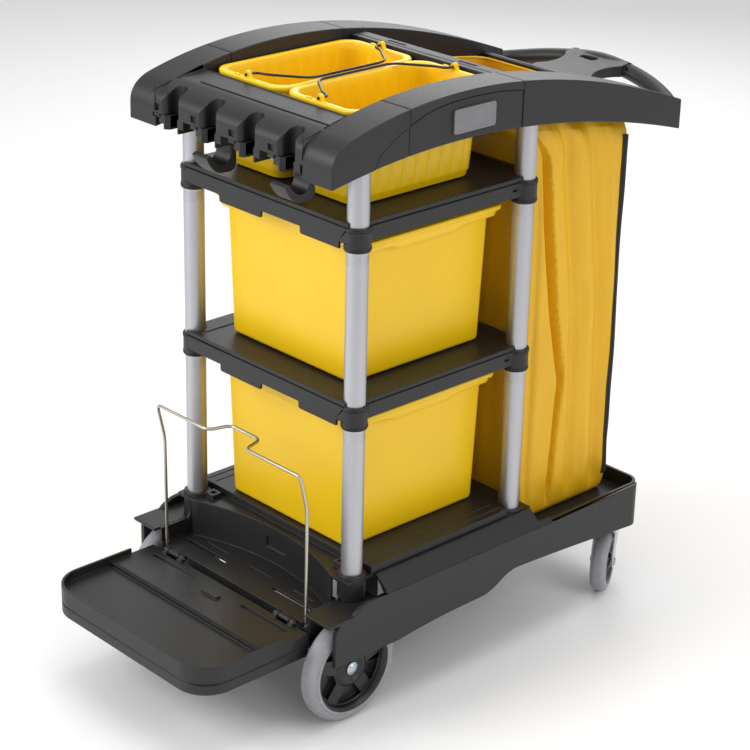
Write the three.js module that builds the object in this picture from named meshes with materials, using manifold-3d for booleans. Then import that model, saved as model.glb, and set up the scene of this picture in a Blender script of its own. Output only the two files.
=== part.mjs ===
// Wheeled cleaning cart: a moulded base with two large wheels and two swivel
// casters, four tube posts, two shelves, a moulded top that holds two charging
// buckets, two bins, a hanging waste bag with a push handle behind it, and a
// folding platform with a wire frame in front.
//
// Millimetres, +Z up. Inside the cart group x = 0 is the middle of the cart,
// y = 0 is midway between the front and rear posts, -Y is the platform end
// and z = 0 is the floor. The cart group is moved along Y at the end, so that
// the origin is the middle of the whole footprint.

import * as THREE from 'three';
import { mergeVertices } from 'three/addons/utils/BufferGeometryUtils.js';
import Module from 'manifold-3d';

// ---------------------------------------------------------------- sizes

// General clearances
const seatGap = 0.3; // between two pieces that touch
const slideGap = 6; // around a piece that is lifted or slid out

// Posts
const postSpacingX = 430;
const postSpacingY = 397;
const postDiameter = 38.1;
const postWall = 2;
const postHead = 1052;

// Shelves
const upperShelfLevel = 866.6; // bottom of the collars
const middleShelfLevel = 546.3;
const collarHeight = 43;
const collarWall = 3.4;
const shelfTopRise = 50; // from the collar's bottom to the shelf's top face
const shelfBandHeight = 36;
const shelfFloorThickness = 5;
const shelfBandThickness = 5;
const tabDrop = 48.6; // how far the front apron's tabs reach below the top face
const notchRise = 24; // how much shorter the apron is at its hand notch
const middleTabEnd = -4; // x where the apron's middle tab ends

// Base
const skirtOverhang = 61; // from the posts' middles to the skirts' outer faces
const ledgeOverhang = 23; // from the posts' middles to the deck's side edges
const baseWall = 6;
const deckRise = 43; // from the fenders' top faces up to the deck's
const plinthRise = 14;
const plinthInset = 26.5; // from the posts' middles to the plinth's ends
const deckOverhang = 36.5; // how far the deck runs on behind the rear posts
const trayLength = 290;
const lowDeckDrop = 72; // from the deck down to the low deck
const lowDeckLead = 62; // from the axle forward to the low deck's edge
const slotLength = 123;
const slotWidth = 8;
const slotNear = 65; // from the middle plane to the near end of each slot
const socketRise = 5.4; // of the post sockets above the deck
const socketWall = 6;
const frontArcDepth = 40; // how far the front wall bows back in the middle
const frontArcLead = 29.5; // from the front posts' middles to the wall's ends
const rimDrop = 26; // from the deck down to the rear tray's rim
const trayDepth = 31;
const rearCornerRadius = 30;
const skirtThickness = 10;
const skirtLead = 42; // from the axle forward to the skirt's front end
const skirtFrontDrop = 104; // from the tray's rim down to the skirt's front corner
const skirtMiddleDrop = 93;
const skirtStepDrop = 64;
const skirtRearDrop = 88;
const flankDrop = 6; // how far the flank's outer edge lies below the tray's rim

// Large wheels
const wheelRadius = 101.6;
const wheelRimRadius = 81;
const wheelWidth = 38;
const wheelInset = 14; // from the skirt's outer face in to the tyre's
const wheelLead = 31.5; // from the front posts' middles forward to the axle
const wheelRoom = 12; // between the wheel and the low deck's side
const fenderGap = 15.8; // above the tyre
const hubDishDepth = 9;
const hubBossRadius = 28;
const axleRadius = 8;
const axleCapRadius = 12;
const axleCapLength = 5;

// Casters
const casterRadius = 62.5;
const casterTreadDepth = 16.5;
const casterWidth = 32;
const casterTrail = 25;
const casterTurn = 30; // degrees the rear wheels stand turned at rest
const casterStemInset = 33; // from the base's rear end to the casters' stems
const casterAxleRadius = 4;
const forkThickness = 3;
const forkGap = 3; // between the wheel and each fork leg
const forkHeadroom = 17.7; // between the caster tyre and the fork's top face
const swivelHeight = 5;
const plateThickness = 4;
const bossHalfWidth = 37;

// Bins
const binInsetX = 55; // from the posts' middles to the bin's foot
const binInsetY = 38.5;
const binFlare = 7; // each wall leans out this much over its height
const binHeadroom = 5.3; // between the bin and the shelf above it
const binWall = 3;
const binRimInset = 20; // from the posts' middles to the rim's outer edge
const binRimDepth = 24;
const binRimThickness = 9;

// Top: rails, head and buckets
const railOverhang = 47; // from the posts' middles to the rail's outer face
const railOverlap = 25; // from the posts' middles to the rail's inner face
const railWall = 5;
const railLead = 101.5; // from the front posts' middles to the rail's front end
const railTail = 361.5; // from the rear posts' middles to the rail's rear end
const frontSeamInset = 67.5;
const rearSeamInset = 63.5;
const wellFrontInset = 10.5;
const wellRearInset = 48.5;
const wellBarDepth = 35;
const wellBarTop = 1092;
const wellBarHeight = 36;
const railNoseTop = 1076;
const railNoseBottom = 1001;
const railCrownTop = 1177.5; // control height of the top curve
const railCrownBottom = 1078.5;
const railTailTop = 996;
const railTailBottom = 940;
const railNoseRound = 38;
const headTop = 1084;
const headSkin = 14;
const fasciaBottom = 1026;
const fasciaDepth = 38;
const fasciaWall = 22;
const notchSpacing = 100;
const notchRadius = 17;
const gripWidth = 66;
const gripHeight = 25;
const gripSlot = 20;
const hookWidth = 40;
const hookReach = 56;
const hookBottom = 954;
const hookThickness = 9;
const bucketTop = 1088;
const bucketWall = 3;
const bucketRimWidth = 10;
const bucketRimHeight = 8;
const bucketTaper = 12;
const bucketCorner = 34;
const bucketGap = 3; // between the two buckets
const lugHalf = 9;
const lugHeight = 12;
const bailDiameter = 5;
const bailRise = 5; // from the bucket's top to the bail's wire

// Label plate, handle and bag
const plateLength = 98;
const plateHeight = 42;
const plateFront = -32;
const plateBottom = 1042;
const labelThickness = 2;
const handleReach = 91; // from the rails' ends to the handle's rear face
const gripThickness = 30;
const gripEndHeight = 968;
const gripMiddleHeight = 1001;
const saddleHalfWidth = 60;
const handleBarTop = 1000;
const handleBarHeight = 16;
const bagBarDepth = 14;
const bagInset = 11; // from the posts' middles to the bag's side
const bagRearInset = 28; // from the base's rear end to the bag
const bagGap = 3; // between the bag and what it hangs behind
const bagCorner = 24;
const bagShoulder = 930;
const bagNeckTop = 1000;
const bagWall = 3;
const zipWidth = 14;
const zipThickness = 2;
const zipInset = 24;

// Platform and wire frame
const platformLength = 241; // from the hinge to the front edge
const platformOverhang = 8; // past the low deck's side
const platformHeight = 55;
const platformRise = 4; // of the platform's rim above the low deck
const platformTrayDepth = 18;
const platformBandDepth = 11;
const platformTrayLength = 136;
const platformRimEnd = 55; // from the hinge to the ends of the side rims
const platformCorner = 62;
const platformWall = 5;
const hingeLead = 8; // from the low deck's edge forward to the hinge
const hingeDrop = 3; // of the hinge below the low deck's top
const hingePinRadius = 3;
const hingePinHalf = 28;
const knuckleRadius = 6;
const knuckleX = 156;
const knuckleHalf = 14;
const frameWire = 6;
const frameInset = 15; // from the low deck's side to the frame's legs
const frameSetback = 4.5; // from the low deck's edge back to the frame's legs
const frameHeight = 292;
const frameKick = 16; // how far the top stands forward of the feet
const kickHeight = 70;
const jogDepth = 44;
const jogHalfWidth = 40;

// ---------------------------------------------------------------- values worked out from them

const postX = postSpacingX / 2;
const postY = postSpacingY / 2;
const postRadius = postDiameter / 2;
const postBore = postRadius + seatGap;
const collarRadius = postBore + collarWall;
const socketRadius = postBore + socketWall;
const bandOuterX = postX + collarRadius / 2;
const bandOuterY = postY + collarRadius;

const baseHalfWidth = postX + skirtOverhang;
const ledgeHalfWidth = postX + ledgeOverhang;
const plinthHalfLength = postY - plinthInset;
const deckRear = postY + deckOverhang;
const baseRear = deckRear + trayLength;
const wheelOuterFace = baseHalfWidth - wheelInset;
const wheelY = -postY - wheelLead;
const lowDeckFront = wheelY - lowDeckLead;
const lowDeckHalfWidth = wheelOuterFace - wheelWidth - wheelRoom;
const fenderTop = 2 * wheelRadius + fenderGap;
const deckTop = fenderTop + deckRise;
const plinthTop = deckTop + plinthRise;
const lowDeckTop = deckTop - lowDeckDrop;
const socketTop = deckTop + socketRise;
const trayRim = deckTop - rimDrop;
const trayFloor = trayRim - trayDepth;
const postFoot = Math.max(fenderTop - seatGap * 10, lowDeckTop);
const skirtFront = wheelY - skirtLead;
const frontArcEnd = -postY - frontArcLead;

const forkTop = 2 * casterRadius + forkHeadroom;
const casterPlateBottom = forkTop + swivelHeight;
const casterPlateTop = casterPlateBottom + plateThickness;
const casterBossBottom = casterPlateTop + seatGap;
const casterStemX = postX;
const casterStemY = baseRear - casterStemInset;

const binHalfX = postX - binInsetX;
const binHalfY = postY - binInsetY;
const binRimHalfX = postX - binRimInset;
const binHeight = Math.min(
  middleShelfLevel - plinthTop, upperShelfLevel - middleShelfLevel - shelfTopRise) - binHeadroom;

const railOuter = postX + railOverhang;
const railInner = postX - railOverlap;
const railFront = -postY - railLead;
const railRear = postY + railTail;
const frontSeam = -postY + frontSeamInset;
const rearSeam = postY - rearSeamInset;
const wellFront = -postY + wellFrontInset;
const wellRear = postY - wellRearInset;
const bailHeight = bucketTop + bailRise;
const handleRear = railRear + handleReach;
const bagHalfX = postX - bagInset;
const bagFront = deckRear + bagGap;
const bagRear = baseRear - bagRearInset;
const bagBarFront = bagRear + 1;

const hingeY = lowDeckFront - hingeLead;
const hingeZ = lowDeckTop - hingeDrop;
const platformFront = hingeY - platformLength;
const platformHalfWidth = lowDeckHalfWidth + platformOverhang;
const platformRim = lowDeckTop + platformRise;
const platformBottom = platformRim - platformHeight;
const platformTray = platformRim - platformTrayDepth;
const platformBand = platformRim - platformBandDepth;
const platformStep = platformFront + platformTrayLength; // where the deep tray ends
const frameHalfWidth = lowDeckHalfWidth - frameInset;
const frameY = lowDeckFront + frameSetback;
const frameFoot = hingeZ - 1;
const frameTop = frameFoot + frameHeight;
const footprintMiddle = (handleRear + platformFront) / 2;
const sides = [['left', -1], ['right', 1]];

// ---------------------------------------------------------------- materials

const finish = (color, roughness, metalness) =>
  new THREE.MeshStandardMaterial({ color, roughness, metalness });
const blackPlastic = finish(0x2b2b2d, 0.55, 0);
const yellowPlastic = finish(0xf0c01c, 0.4, 0);
const yellowVinyl = finish(0xe9b520, 0.5, 0);
const aluminium = finish(0xc4c6cc, 0.32, 0.95);
const greyTyre = finish(0x98989a, 0.75, 0);
const zincSteel = finish(0xa9b6bd, 0.35, 0.9);
const brightWire = finish(0xc8c6c0, 0.25, 1);
const blackWire = finish(0x18181a, 0.4, 0.3);
const plateGrey = finish(0xa9abae, 0.4, 0.2);
const zipBlack = finish(0x202022, 0.8, 0);

// ---------------------------------------------------------------- solid modelling helpers

const wasm = await Module();
wasm.setup();

function solid(geometry) {
  const bare = geometry.clone();
  bare.deleteAttribute('normal');
  bare.deleteAttribute('uv');
  const merged = mergeVertices(bare, 1e-3);
  return new wasm.Manifold(new wasm.Mesh({
    numProp: 3,
    vertProperties: new Float32Array(merged.attributes.position.array),
    triVerts: new Uint32Array(merged.index.array),
  }));
}

const join = (...pieces) => pieces.reduce((whole, piece) => whole.add(piece));
const cut = (body, ...tools) => tools.reduce((whole, tool) => whole.subtract(tool), body);

function box(x0, x1, y0, y1, z0, z1) {
  const geometry = new THREE.BoxGeometry(x1 - x0, y1 - y0, z1 - z0);
  return solid(geometry.translate((x0 + x1) / 2, (y0 + y1) / 2, (z0 + z1) / 2));
}

// A box between two distances from the middle plane, on one side of the cart.
function sideBox(side, near, far, y0, y1, z0, z1) {
  return side > 0 ? box(near, far, y0, y1, z0, z1) : box(-far, -near, y0, y1, z0, z1);
}

function uprightCylinder(radius, x, y, z0, z1, segments = 16) {
  const geometry = new THREE.CylinderGeometry(radius, radius, z1 - z0, segments);
  return solid(geometry.rotateX(Math.PI / 2).translate(x, y, (z0 + z1) / 2));
}

function crossCylinder(radius, x0, x1, y, z, segments = 16) {
  const geometry = new THREE.CylinderGeometry(radius, radius, x1 - x0, segments);
  return solid(geometry.rotateZ(Math.PI / 2).translate((x0 + x1) / 2, y, z));
}

// A profile turned about the X axis. Each point is [radius, x].
function turned(profile, y, z, segments = 36) {
  const points = profile.map(([radius, x]) => new THREE.Vector2(radius, x));
  const geometry = new THREE.LatheGeometry([...points, points[0]], segments);
  return solid(geometry.rotateZ(-Math.PI / 2).translate(0, y, z));
}

function outline(points) {
  return new THREE.Shape(points.map(([a, b]) => new THREE.Vector2(a, b)));
}

function roundedRectangle(x0, x1, y0, y1, radius) {
  const shape = new THREE.Shape();
  shape.moveTo(x0 + radius, y0);
  shape.lineTo(x1 - radius, y0);
  shape.absarc(x1 - radius, y0 + radius, radius, -Math.PI / 2, 0);
  shape.lineTo(x1, y1 - radius);
  shape.absarc(x1 - radius, y1 - radius, radius, 0, Math.PI / 2);
  shape.lineTo(x0 + radius, y1);
  shape.absarc(x0 + radius, y1 - radius, radius, Math.PI / 2, Math.PI);
  shape.lineTo(x0, y0 + radius);
  shape.absarc(x0 + radius, y0 + radius, radius, Math.PI, Math.PI * 1.5);
  return shape;
}

const extrudeOptions = (depth, curveSegments) => ({ depth, bevelEnabled: false, curveSegments });

// An outline in x and y, raised from z0 to z1.
function raised(shape, z0, z1, curveSegments = 5) {
  const geometry = new THREE.ExtrudeGeometry(shape, extrudeOptions(z1 - z0, curveSegments));
  return solid(geometry.translate(0, 0, z0));
}

// An outline in y and z, drawn out from x0 to x1.
function drawnAcross(shape, x0, x1, curveSegments = 10) {
  const geometry = new THREE.ExtrudeGeometry(shape, extrudeOptions(x1 - x0, curveSegments));
  const basis = new THREE.Matrix4().makeBasis(
    new THREE.Vector3(0, 1, 0), new THREE.Vector3(0, 0, 1), new THREE.Vector3(1, 0, 0));
  return solid(geometry.applyMatrix4(basis).translate(x0, 0, 0));
}

// An outline in x and z, drawn out from y0 to y1.
function drawnAlong(shape, y0, y1, curveSegments = 5) {
  const geometry = new THREE.ExtrudeGeometry(shape, extrudeOptions(y1 - y0, curveSegments));
  return solid(geometry.rotateX(Math.PI / 2).translate(0, y1, 0));
}

// A rounded block whose walls lean: the outline at z1 is wider by flare on every side.
function leaningBlock(x0, x1, y0, y1, z0, z1, radius, flare) {
  const geometry = new THREE.ExtrudeGeometry(
    roundedRectangle(x0, x1, y0, y1, radius), extrudeOptions(z1 - z0, 2));
  geometry.translate(0, 0, z0);
  const middleX = (x0 + x1) / 2;
  const middleY = (y0 + y1) / 2;
  const growX = 1 + flare / ((x1 - x0) / 2);
  const growY = 1 + flare / ((y1 - y0) / 2);
  const place = geometry.attributes.position;
  for (let i = 0; i < place.count; i += 1) {
    if (place.getZ(i) > (z0 + z1) / 2) {
      place.setX(i, middleX + (place.getX(i) - middleX) * growX);
      place.setY(i, middleY + (place.getY(i) - middleY) * growY);
    }
  }
  return solid(geometry);
}

// A round wire along straight runs with rounded corners.
function wire(points, diameter, bend, sides = 8) {
  const corners = points.map((point) => new THREE.Vector3(...point));
  const path = new THREE.CurvePath();
  let last = corners[0];
  for (let i = 1; i < corners.length - 1; i += 1) {
    const corner = corners[i];
    const before = corners[i - 1].clone().sub(corner);
    const after = corners[i + 1].clone().sub(corner);
    const reach = Math.min(bend, before.length() / 2, after.length() / 2);
    const start = corner.clone().add(before.setLength(reach));
    const end = corner.clone().add(after.setLength(reach));
    path.add(new THREE.LineCurve3(last, start));
    path.add(new THREE.QuadraticBezierCurve3(start, corner, end));
    last = end;
  }
  path.add(new THREE.LineCurve3(last, corners[corners.length - 1]));
  const places = path.curves.flatMap((curve) =>
    curve.getPoints(curve.isLineCurve3 ? 1 : 2).slice(0, -1));
  places.push(corners[corners.length - 1]);
  return swept(places, circle(diameter / 2, sides));
}

function circleAt(radius, a, b, sides = 12) {
  return outline(Array.from({ length: sides }, (_, i) => {
    const turn = ((i + 0.5) / sides) * Math.PI * 2;
    return [a + radius * Math.cos(turn), b + radius * Math.sin(turn)];
  }));
}

function circle(radius, sides) {
  return circleAt(radius, 0, 0, sides);
}

// A section swept along a line of places, one step from each place to the next.
class PlacedCurve extends THREE.Curve {
  constructor(places) {
    super();
    this.places = places;
  }

  getPoint(t, target = new THREE.Vector3()) {
    const along = t * (this.places.length - 1);
    const step = Math.min(Math.floor(along), this.places.length - 2);
    return target.lerpVectors(this.places[step], this.places[step + 1], along - step);
  }

  getPointAt(u, target) {
    return this.getPoint(u, target);
  }

  getTangentAt(u, target = new THREE.Vector3()) {
    const step = u * (this.places.length - 1);
    const here = Math.round(step);
    const before = this.places[Math.max(here - 1, 0)];
    const after = this.places[Math.min(here + 1, this.places.length - 1)];
    return target.subVectors(after, before).normalize();
  }
}

function swept(places, section) {
  return solid(new THREE.ExtrudeGeometry(section, {
    steps: places.length - 1,
    extrudePath: new PlacedCurve(places),
    curveSegments: 4,
  }));
}

const cart = new THREE.Group();

function addPart(name, body, material) {
  const { vertProperties, triVerts } = body.getMesh();
  const geometry = new THREE.BufferGeometry();
  geometry.setAttribute('position', new THREE.BufferAttribute(new Float32Array(vertProperties), 3));
  geometry.setIndex(new THREE.BufferAttribute(new Uint32Array(triVerts), 1));
  geometry.computeVertexNormals();
  const part = new THREE.Mesh(geometry, material);
  part.name = name;
  cart.add(part);
}

// ---------------------------------------------------------------- posts

function post(x, y) {
  return cut(
    uprightCylinder(postRadius, x, y, postFoot + seatGap, postHead),
    uprightCylinder(postRadius - postWall, x, y, postFoot - 1, postHead + 1));
}

const postPlaces = [
  ['front_left', -postX, -postY],
  ['front_right', postX, -postY],
  ['rear_left', -postX, postY],
  ['rear_right', postX, postY],
];
for (const [place, x, y] of postPlaces) addPart(`post_${place}`, post(x, y), aluminium);

// ---------------------------------------------------------------- shelves

function frontApron(level) {
  const top = level + shelfTopRise;
  const low = top - tabDrop;
  const high = low + notchRise;
  const end = postX - collarRadius + 1;
  return outline([
    [-end, top], [-end, high], [-0.61 * end, high], [-0.61 * end, low], [middleTabEnd, low],
    [middleTabEnd, high], [0.49 * end, high], [0.49 * end, low], [end, low], [end, top],
  ]);
}

function shelf(level) {
  const top = level + shelfTopRise;
  const bandBottom = top - shelfBandHeight;
  const insideX = bandOuterX - shelfBandThickness;
  const insideY = bandOuterY - shelfBandThickness;
  const plate = box(-bandOuterX, bandOuterX, -bandOuterY, bandOuterY, bandBottom, top);
  const hollow = box(-insideX, insideX, -insideY, insideY, bandBottom - 1, top - shelfFloorThickness);
  const apron = drawnAlong(frontApron(level), -bandOuterY, -bandOuterY + shelfBandThickness);
  let body = join(cut(plate, hollow), apron);
  for (const [, x, y] of postPlaces) {
    const corner = box(
      Math.min(x, Math.sign(x) * (bandOuterX + 1)), Math.max(x, Math.sign(x) * (bandOuterX + 1)),
      Math.min(y, Math.sign(y) * (bandOuterY + 1)), Math.max(y, Math.sign(y) * (bandOuterY + 1)),
      bandBottom - 20, top + 1);
    body = cut(body, corner);
    body = join(body, uprightCylinder(collarRadius, x, y, level, level + collarHeight));
  }
  for (const [, x, y] of postPlaces) {
    body = cut(body, uprightCylinder(postBore, x, y, level - 1, top + 2));
  }
  return body;
}

addPart('upper_shelf', shelf(upperShelfLevel), blackPlastic);
addPart('middle_shelf', shelf(middleShelfLevel), blackPlastic);

// ---------------------------------------------------------------- base

const arcHalfChord = postX - socketRadius;
const arcRadius = (arcHalfChord ** 2 + frontArcDepth ** 2) / (2 * frontArcDepth);
const arcCentreY = frontArcEnd + frontArcDepth - arcRadius;

// The bowed front wall below the bins, and everything in front of it.
const insideArc = (radius, z0, z1) => uprightCylinder(radius, 0, arcCentreY, z0, z1, 56);

function raisedDeck() {
  const deck = cut(
    box(-ledgeHalfWidth, ledgeHalfWidth, frontArcEnd, deckRear, deckTop - baseWall, deckTop),
    insideArc(arcRadius, 0, deckTop + 1));
  const frontWall = cut(
    box(-arcHalfChord - socketWall, arcHalfChord + socketWall, frontArcEnd, frontArcEnd + 60,
      lowDeckTop - baseWall, deckTop),
    insideArc(arcRadius, 0, deckTop + 1),
    cut(box(-postX * 2, postX * 2, frontArcEnd * 2, 0, 0, deckTop + 1),
      insideArc(arcRadius + baseWall, -1, deckTop + 2)));
  const plinth = box(-ledgeHalfWidth, ledgeHalfWidth, -plinthHalfLength, plinthHalfLength,
    deckTop - baseWall, plinthTop);
  return join(deck, frontWall, plinth);
}

function lowDeck() {
  const slab = box(-lowDeckHalfWidth, lowDeckHalfWidth, lowDeckFront, frontArcEnd + frontArcDepth,
    lowDeckTop - baseWall, lowDeckTop);
  const front = box(-lowDeckHalfWidth, lowDeckHalfWidth, lowDeckFront, lowDeckFront + baseWall,
    platformBottom + 6, lowDeckTop);
  const slotMiddle = (wheelY + frontArcEnd) / 2 - 21;
  const slots = sides.map(([, side]) => sideBox(side, slotNear, slotNear + slotLength,
    slotMiddle - slotWidth / 2, slotMiddle + slotWidth / 2, 0, lowDeckTop + 1));
  const frameSlots = sides.map(([, side]) => sideBox(
    side, frameHalfWidth - frameWire, frameHalfWidth + frameWire,
    frameY - frameWire, frameY + frameWire, frameFoot - frameWire, lowDeckTop + 1));
  const knuckles = sides.map(([, side]) => join(
    crossCylinder(knuckleRadius, side * knuckleX - knuckleHalf, side * knuckleX + knuckleHalf,
      hingeY, hingeZ),
    box(side * knuckleX - knuckleHalf, side * knuckleX + knuckleHalf, hingeY, lowDeckFront + 1,
      hingeZ - knuckleRadius, lowDeckTop)));
  const pins = sides.map(([, side]) => crossCylinder(
    hingePinRadius + seatGap, side * knuckleX - hingePinHalf - 2,
    side * knuckleX + hingePinHalf + 2, hingeY, hingeZ));
  return cut(join(slab, front, ...knuckles), ...slots, ...frameSlots, ...pins);
}

function wheelCheek(side) {
  const low = wheelRadius - 16;
  const shape = outline([
    [lowDeckFront, lowDeckTop], [lowDeckFront, lowDeckTop - 40], [wheelY - 24, low],
    [wheelY + 24, low], [wheelY + 100, 170], [wheelY + 100, deckTop - baseWall],
    [frontArcEnd + 20, deckTop - baseWall],
    [frontArcEnd, fenderTop], [lowDeckFront, fenderTop],
  ]);
  const near = side > 0 ? lowDeckHalfWidth - baseWall : -lowDeckHalfWidth;
  return drawnAcross(shape, near, near + baseWall);
}

function rearTray() {
  const inner = baseHalfWidth - skirtThickness - seatGap;
  const plan = roundedRectangle(-inner, inner, deckRear - baseWall, baseRear, rearCornerRadius);
  const tub = cut(
    raised(plan, trayFloor - baseWall, trayRim),
    raised(roundedRectangle(-inner + baseWall, inner - baseWall, deckRear,
      baseRear - baseWall, rearCornerRadius - baseWall), trayFloor, trayRim + 1));
  const front = box(
    -ledgeHalfWidth, ledgeHalfWidth, deckRear - baseWall, deckRear, trayFloor, deckTop);
  const bosses = sides.map(([, side]) => sideBox(
    side, casterStemX - bossHalfWidth, casterStemX + bossHalfWidth, casterStemY - 42,
    casterStemY + 28, casterBossBottom, trayFloor - 1));
  return join(tub, front, ...bosses);
}

function baseChassis() {
  const wheelRooms = sides.map(([, side]) => sideBox(side, lowDeckHalfWidth, baseHalfWidth + 50,
    lowDeckFront - 60, wheelY + wheelRadius + fenderGap, 0, fenderTop - baseWall));
  const sockets = postPlaces.map(([, x, y]) => cut(
    uprightCylinder(socketRadius, x, y, lowDeckTop - baseWall, socketTop), ...wheelRooms));
  const bores = postPlaces.map(([, x, y]) => uprightCylinder(
    postBore, x, y, postFoot, socketTop + 30));
  const axleBore = crossCylinder(
    axleRadius + seatGap, -baseHalfWidth, baseHalfWidth, wheelY, wheelRadius);
  const cheeks = sides.map(([, side]) => wheelCheek(side));
  return cut(
    join(raisedDeck(), lowDeck(), rearTray(), ...cheeks, ...sockets), ...bores, axleBore);
}

addPart('base_chassis', baseChassis(), blackPlastic);

// Side skirts: an outer wall with a shaped lower edge, a sloping flank that
// meets the deck, and a fender over the large wheel.
function skirtOutline() {
  const shape = new THREE.Shape();
  const frontLow = trayRim - skirtFrontDrop;
  const middleLow = trayRim - skirtMiddleDrop;
  const stepLow = trayRim - skirtStepDrop;
  const rearLow = trayRim - skirtRearDrop;
  shape.moveTo(skirtFront, frontLow);
  shape.lineTo(wheelY + 96, frontLow);
  shape.quadraticCurveTo(wheelY + 160, middleLow - 3, wheelY + 230, middleLow - 1);
  shape.lineTo(postY - 128, middleLow);
  shape.bezierCurveTo(postY - 83, middleLow + 1, postY - 73, stepLow, postY - 30, stepLow);
  shape.quadraticCurveTo((postY + baseRear) / 2 - 32, stepLow - 8, baseRear - 8, rearLow);
  shape.lineTo(baseRear, rearLow + 4);
  shape.lineTo(baseRear, trayRim);
  shape.lineTo(wheelY + 30, trayRim);
  shape.quadraticCurveTo(wheelY + 5, trayRim, wheelY - 15, fenderTop);
  shape.quadraticCurveTo(skirtFront, fenderTop, skirtFront, fenderTop - 24);
  return shape;
}

function skirt(side) {
  const far = baseHalfWidth;
  const near = far - skirtThickness;
  const wall = drawnAcross(skirtOutline(), near, far);
  const cornerTool = cut(
    box(near - 40, far + 1, baseRear - rearCornerRadius, baseRear + 1, 0, deckTop),
    uprightCylinder(rearCornerRadius, far - rearCornerRadius, baseRear - rearCornerRadius, 0, deckTop));
  const reach = ledgeHalfWidth + seatGap;
  const flank = drawnAlong(outline([
    [reach, deckTop - baseWall], [reach, deckTop], [reach + 6, deckTop], [far - 4, trayRim + 2],
    [far, trayRim - flankDrop], [far, trayRim - 20], [near, trayRim - 20],
    [near, trayRim - flankDrop - 2], [reach + 6, deckTop - baseWall],
  ]), wheelY + 65, deckRear + 24);
  const fenderReach = lowDeckHalfWidth + seatGap;
  const fender = box(fenderReach, far, skirtFront - 16, wheelY + 65, fenderTop - baseWall, fenderTop);
  const socketRoom = uprightCylinder(socketRadius + seatGap, postX, -postY, 0, socketTop + 30);
  const rearSocketRoom = uprightCylinder(socketRadius + seatGap, postX, postY, 0, socketTop + 30);
  const trayRoom = box(0, near, deckRear - baseWall - seatGap, baseRear + 1, 0, trayRim + 30);
  const cheekRoom = box(0, fenderReach, lowDeckFront - 60, 0, 0, socketTop + 30);
  const body = cut(join(wall, flank, fender), cornerTool, socketRoom, rearSocketRoom, trayRoom, cheekRoom);
  return side > 0 ? body : body.mirror([1, 0, 0]);
}

for (const [name, side] of sides) addPart(`${name}_side_skirt`, skirt(side), blackPlastic);

// ---------------------------------------------------------------- large wheels

function hubProfile() {
  const outer = wheelOuterFace - 2;
  const inner = wheelOuterFace - wheelWidth + 2;
  const bore = axleRadius + seatGap;
  return [
    [bore, inner], [hubBossRadius, inner], [hubBossRadius + 6, inner + hubDishDepth],
    [wheelRimRadius - 8, inner + hubDishDepth], [wheelRimRadius, inner], [wheelRimRadius, outer],
    [wheelRimRadius - 8, outer - hubDishDepth], [hubBossRadius + 6, outer - hubDishDepth],
    [hubBossRadius - 2, outer - 6],
    [bore, outer - 6],
  ];
}

function tyreProfile() {
  const outer = wheelOuterFace;
  const inner = wheelOuterFace - wheelWidth;
  const seat = wheelRimRadius + seatGap;
  return [
    [seat, inner], [seat + 11, inner], [wheelRadius, inner + 10],
    [wheelRadius, outer - 10], [seat + 11, outer], [seat, outer],
  ];
}

const mirrorProfile = (profile) => profile.map(([radius, x]) => [radius, -x]).reverse();

function largeWheel(side) {
  const profile = (make) => (side > 0 ? make() : mirrorProfile(make()));
  return [
    turned(profile(hubProfile), wheelY, wheelRadius, 28),
    turned(profile(tyreProfile), wheelY, wheelRadius, 28),
  ];
}

const axleEnd = wheelOuterFace - 8;
addPart('front_axle', crossCylinder(axleRadius, -axleEnd, axleEnd, wheelY, wheelRadius), zincSteel);
for (const [name, side] of sides) {
  const [hub, tyre] = largeWheel(side);
  addPart(`${name}_wheel_hub`, hub, blackPlastic);
  addPart(`${name}_wheel_tyre`, tyre, greyTyre);
  const capStart = side * (axleEnd + seatGap);
  const capEnd = side * (axleEnd + seatGap + axleCapLength);
  addPart(`${name}_axle_cap`, crossCylinder(
    axleCapRadius, Math.min(capStart, capEnd), Math.max(capStart, capEnd), wheelY, wheelRadius), zincSteel);
}

// ---------------------------------------------------------------- casters

// Each piece is made at the origin with the wheel straight, then turned about
// the stem and moved to the stem's place. The wheel trails towards -Y.
function placeCaster(body, side) {
  return body.rotate([0, 0, casterTurn]).translate([side * casterStemX, casterStemY, 0]);
}

const forkHalf = casterWidth / 2 + forkGap + forkThickness;

function casterPlate() {
  return join(
    box(-30, 30, -26, 26, casterPlateBottom, casterPlateTop),
    uprightCylinder(20, 0, 0, forkTop + seatGap, casterPlateBottom + 1));
}

function casterFork() {
  const legs = [-1, 1].map((i) => {
    const shape = new THREE.Shape();
    shape.moveTo(-20, forkTop);
    shape.lineTo(-casterTrail - 11, casterRadius);
    shape.absarc(-casterTrail, casterRadius, 11, Math.PI, Math.PI * 2);
    shape.lineTo(20, forkTop - 8);
    shape.lineTo(20, forkTop);
    const x = i > 0 ? forkHalf - forkThickness : -forkHalf;
    return drawnAcross(shape, x, x + forkThickness, 6);
  });
  const crown = box(-forkHalf, forkHalf, -22, 22, forkTop - forkThickness, forkTop);
  const bore = crossCylinder(
    casterAxleRadius + seatGap, -forkHalf - 1, forkHalf + 1, -casterTrail, casterRadius);
  const wheelRoom = crossCylinder(casterRadius + 2, -forkHalf + forkThickness,
    forkHalf - forkThickness, -casterTrail, casterRadius, 24);
  return cut(join(crown, ...legs), bore, wheelRoom);
}

function casterWheel() {
  const half = casterWidth / 2;
  const bore = casterAxleRadius + seatGap;
  const rim = casterRadius - casterTreadDepth;
  return turned([
    [bore, -half], [14, -half], [20, -half + 6], [rim, -half + 2],
    [rim, half - 2], [20, half - 6], [14, half], [bore, half],
  ], -casterTrail, casterRadius, 24);
}

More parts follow.
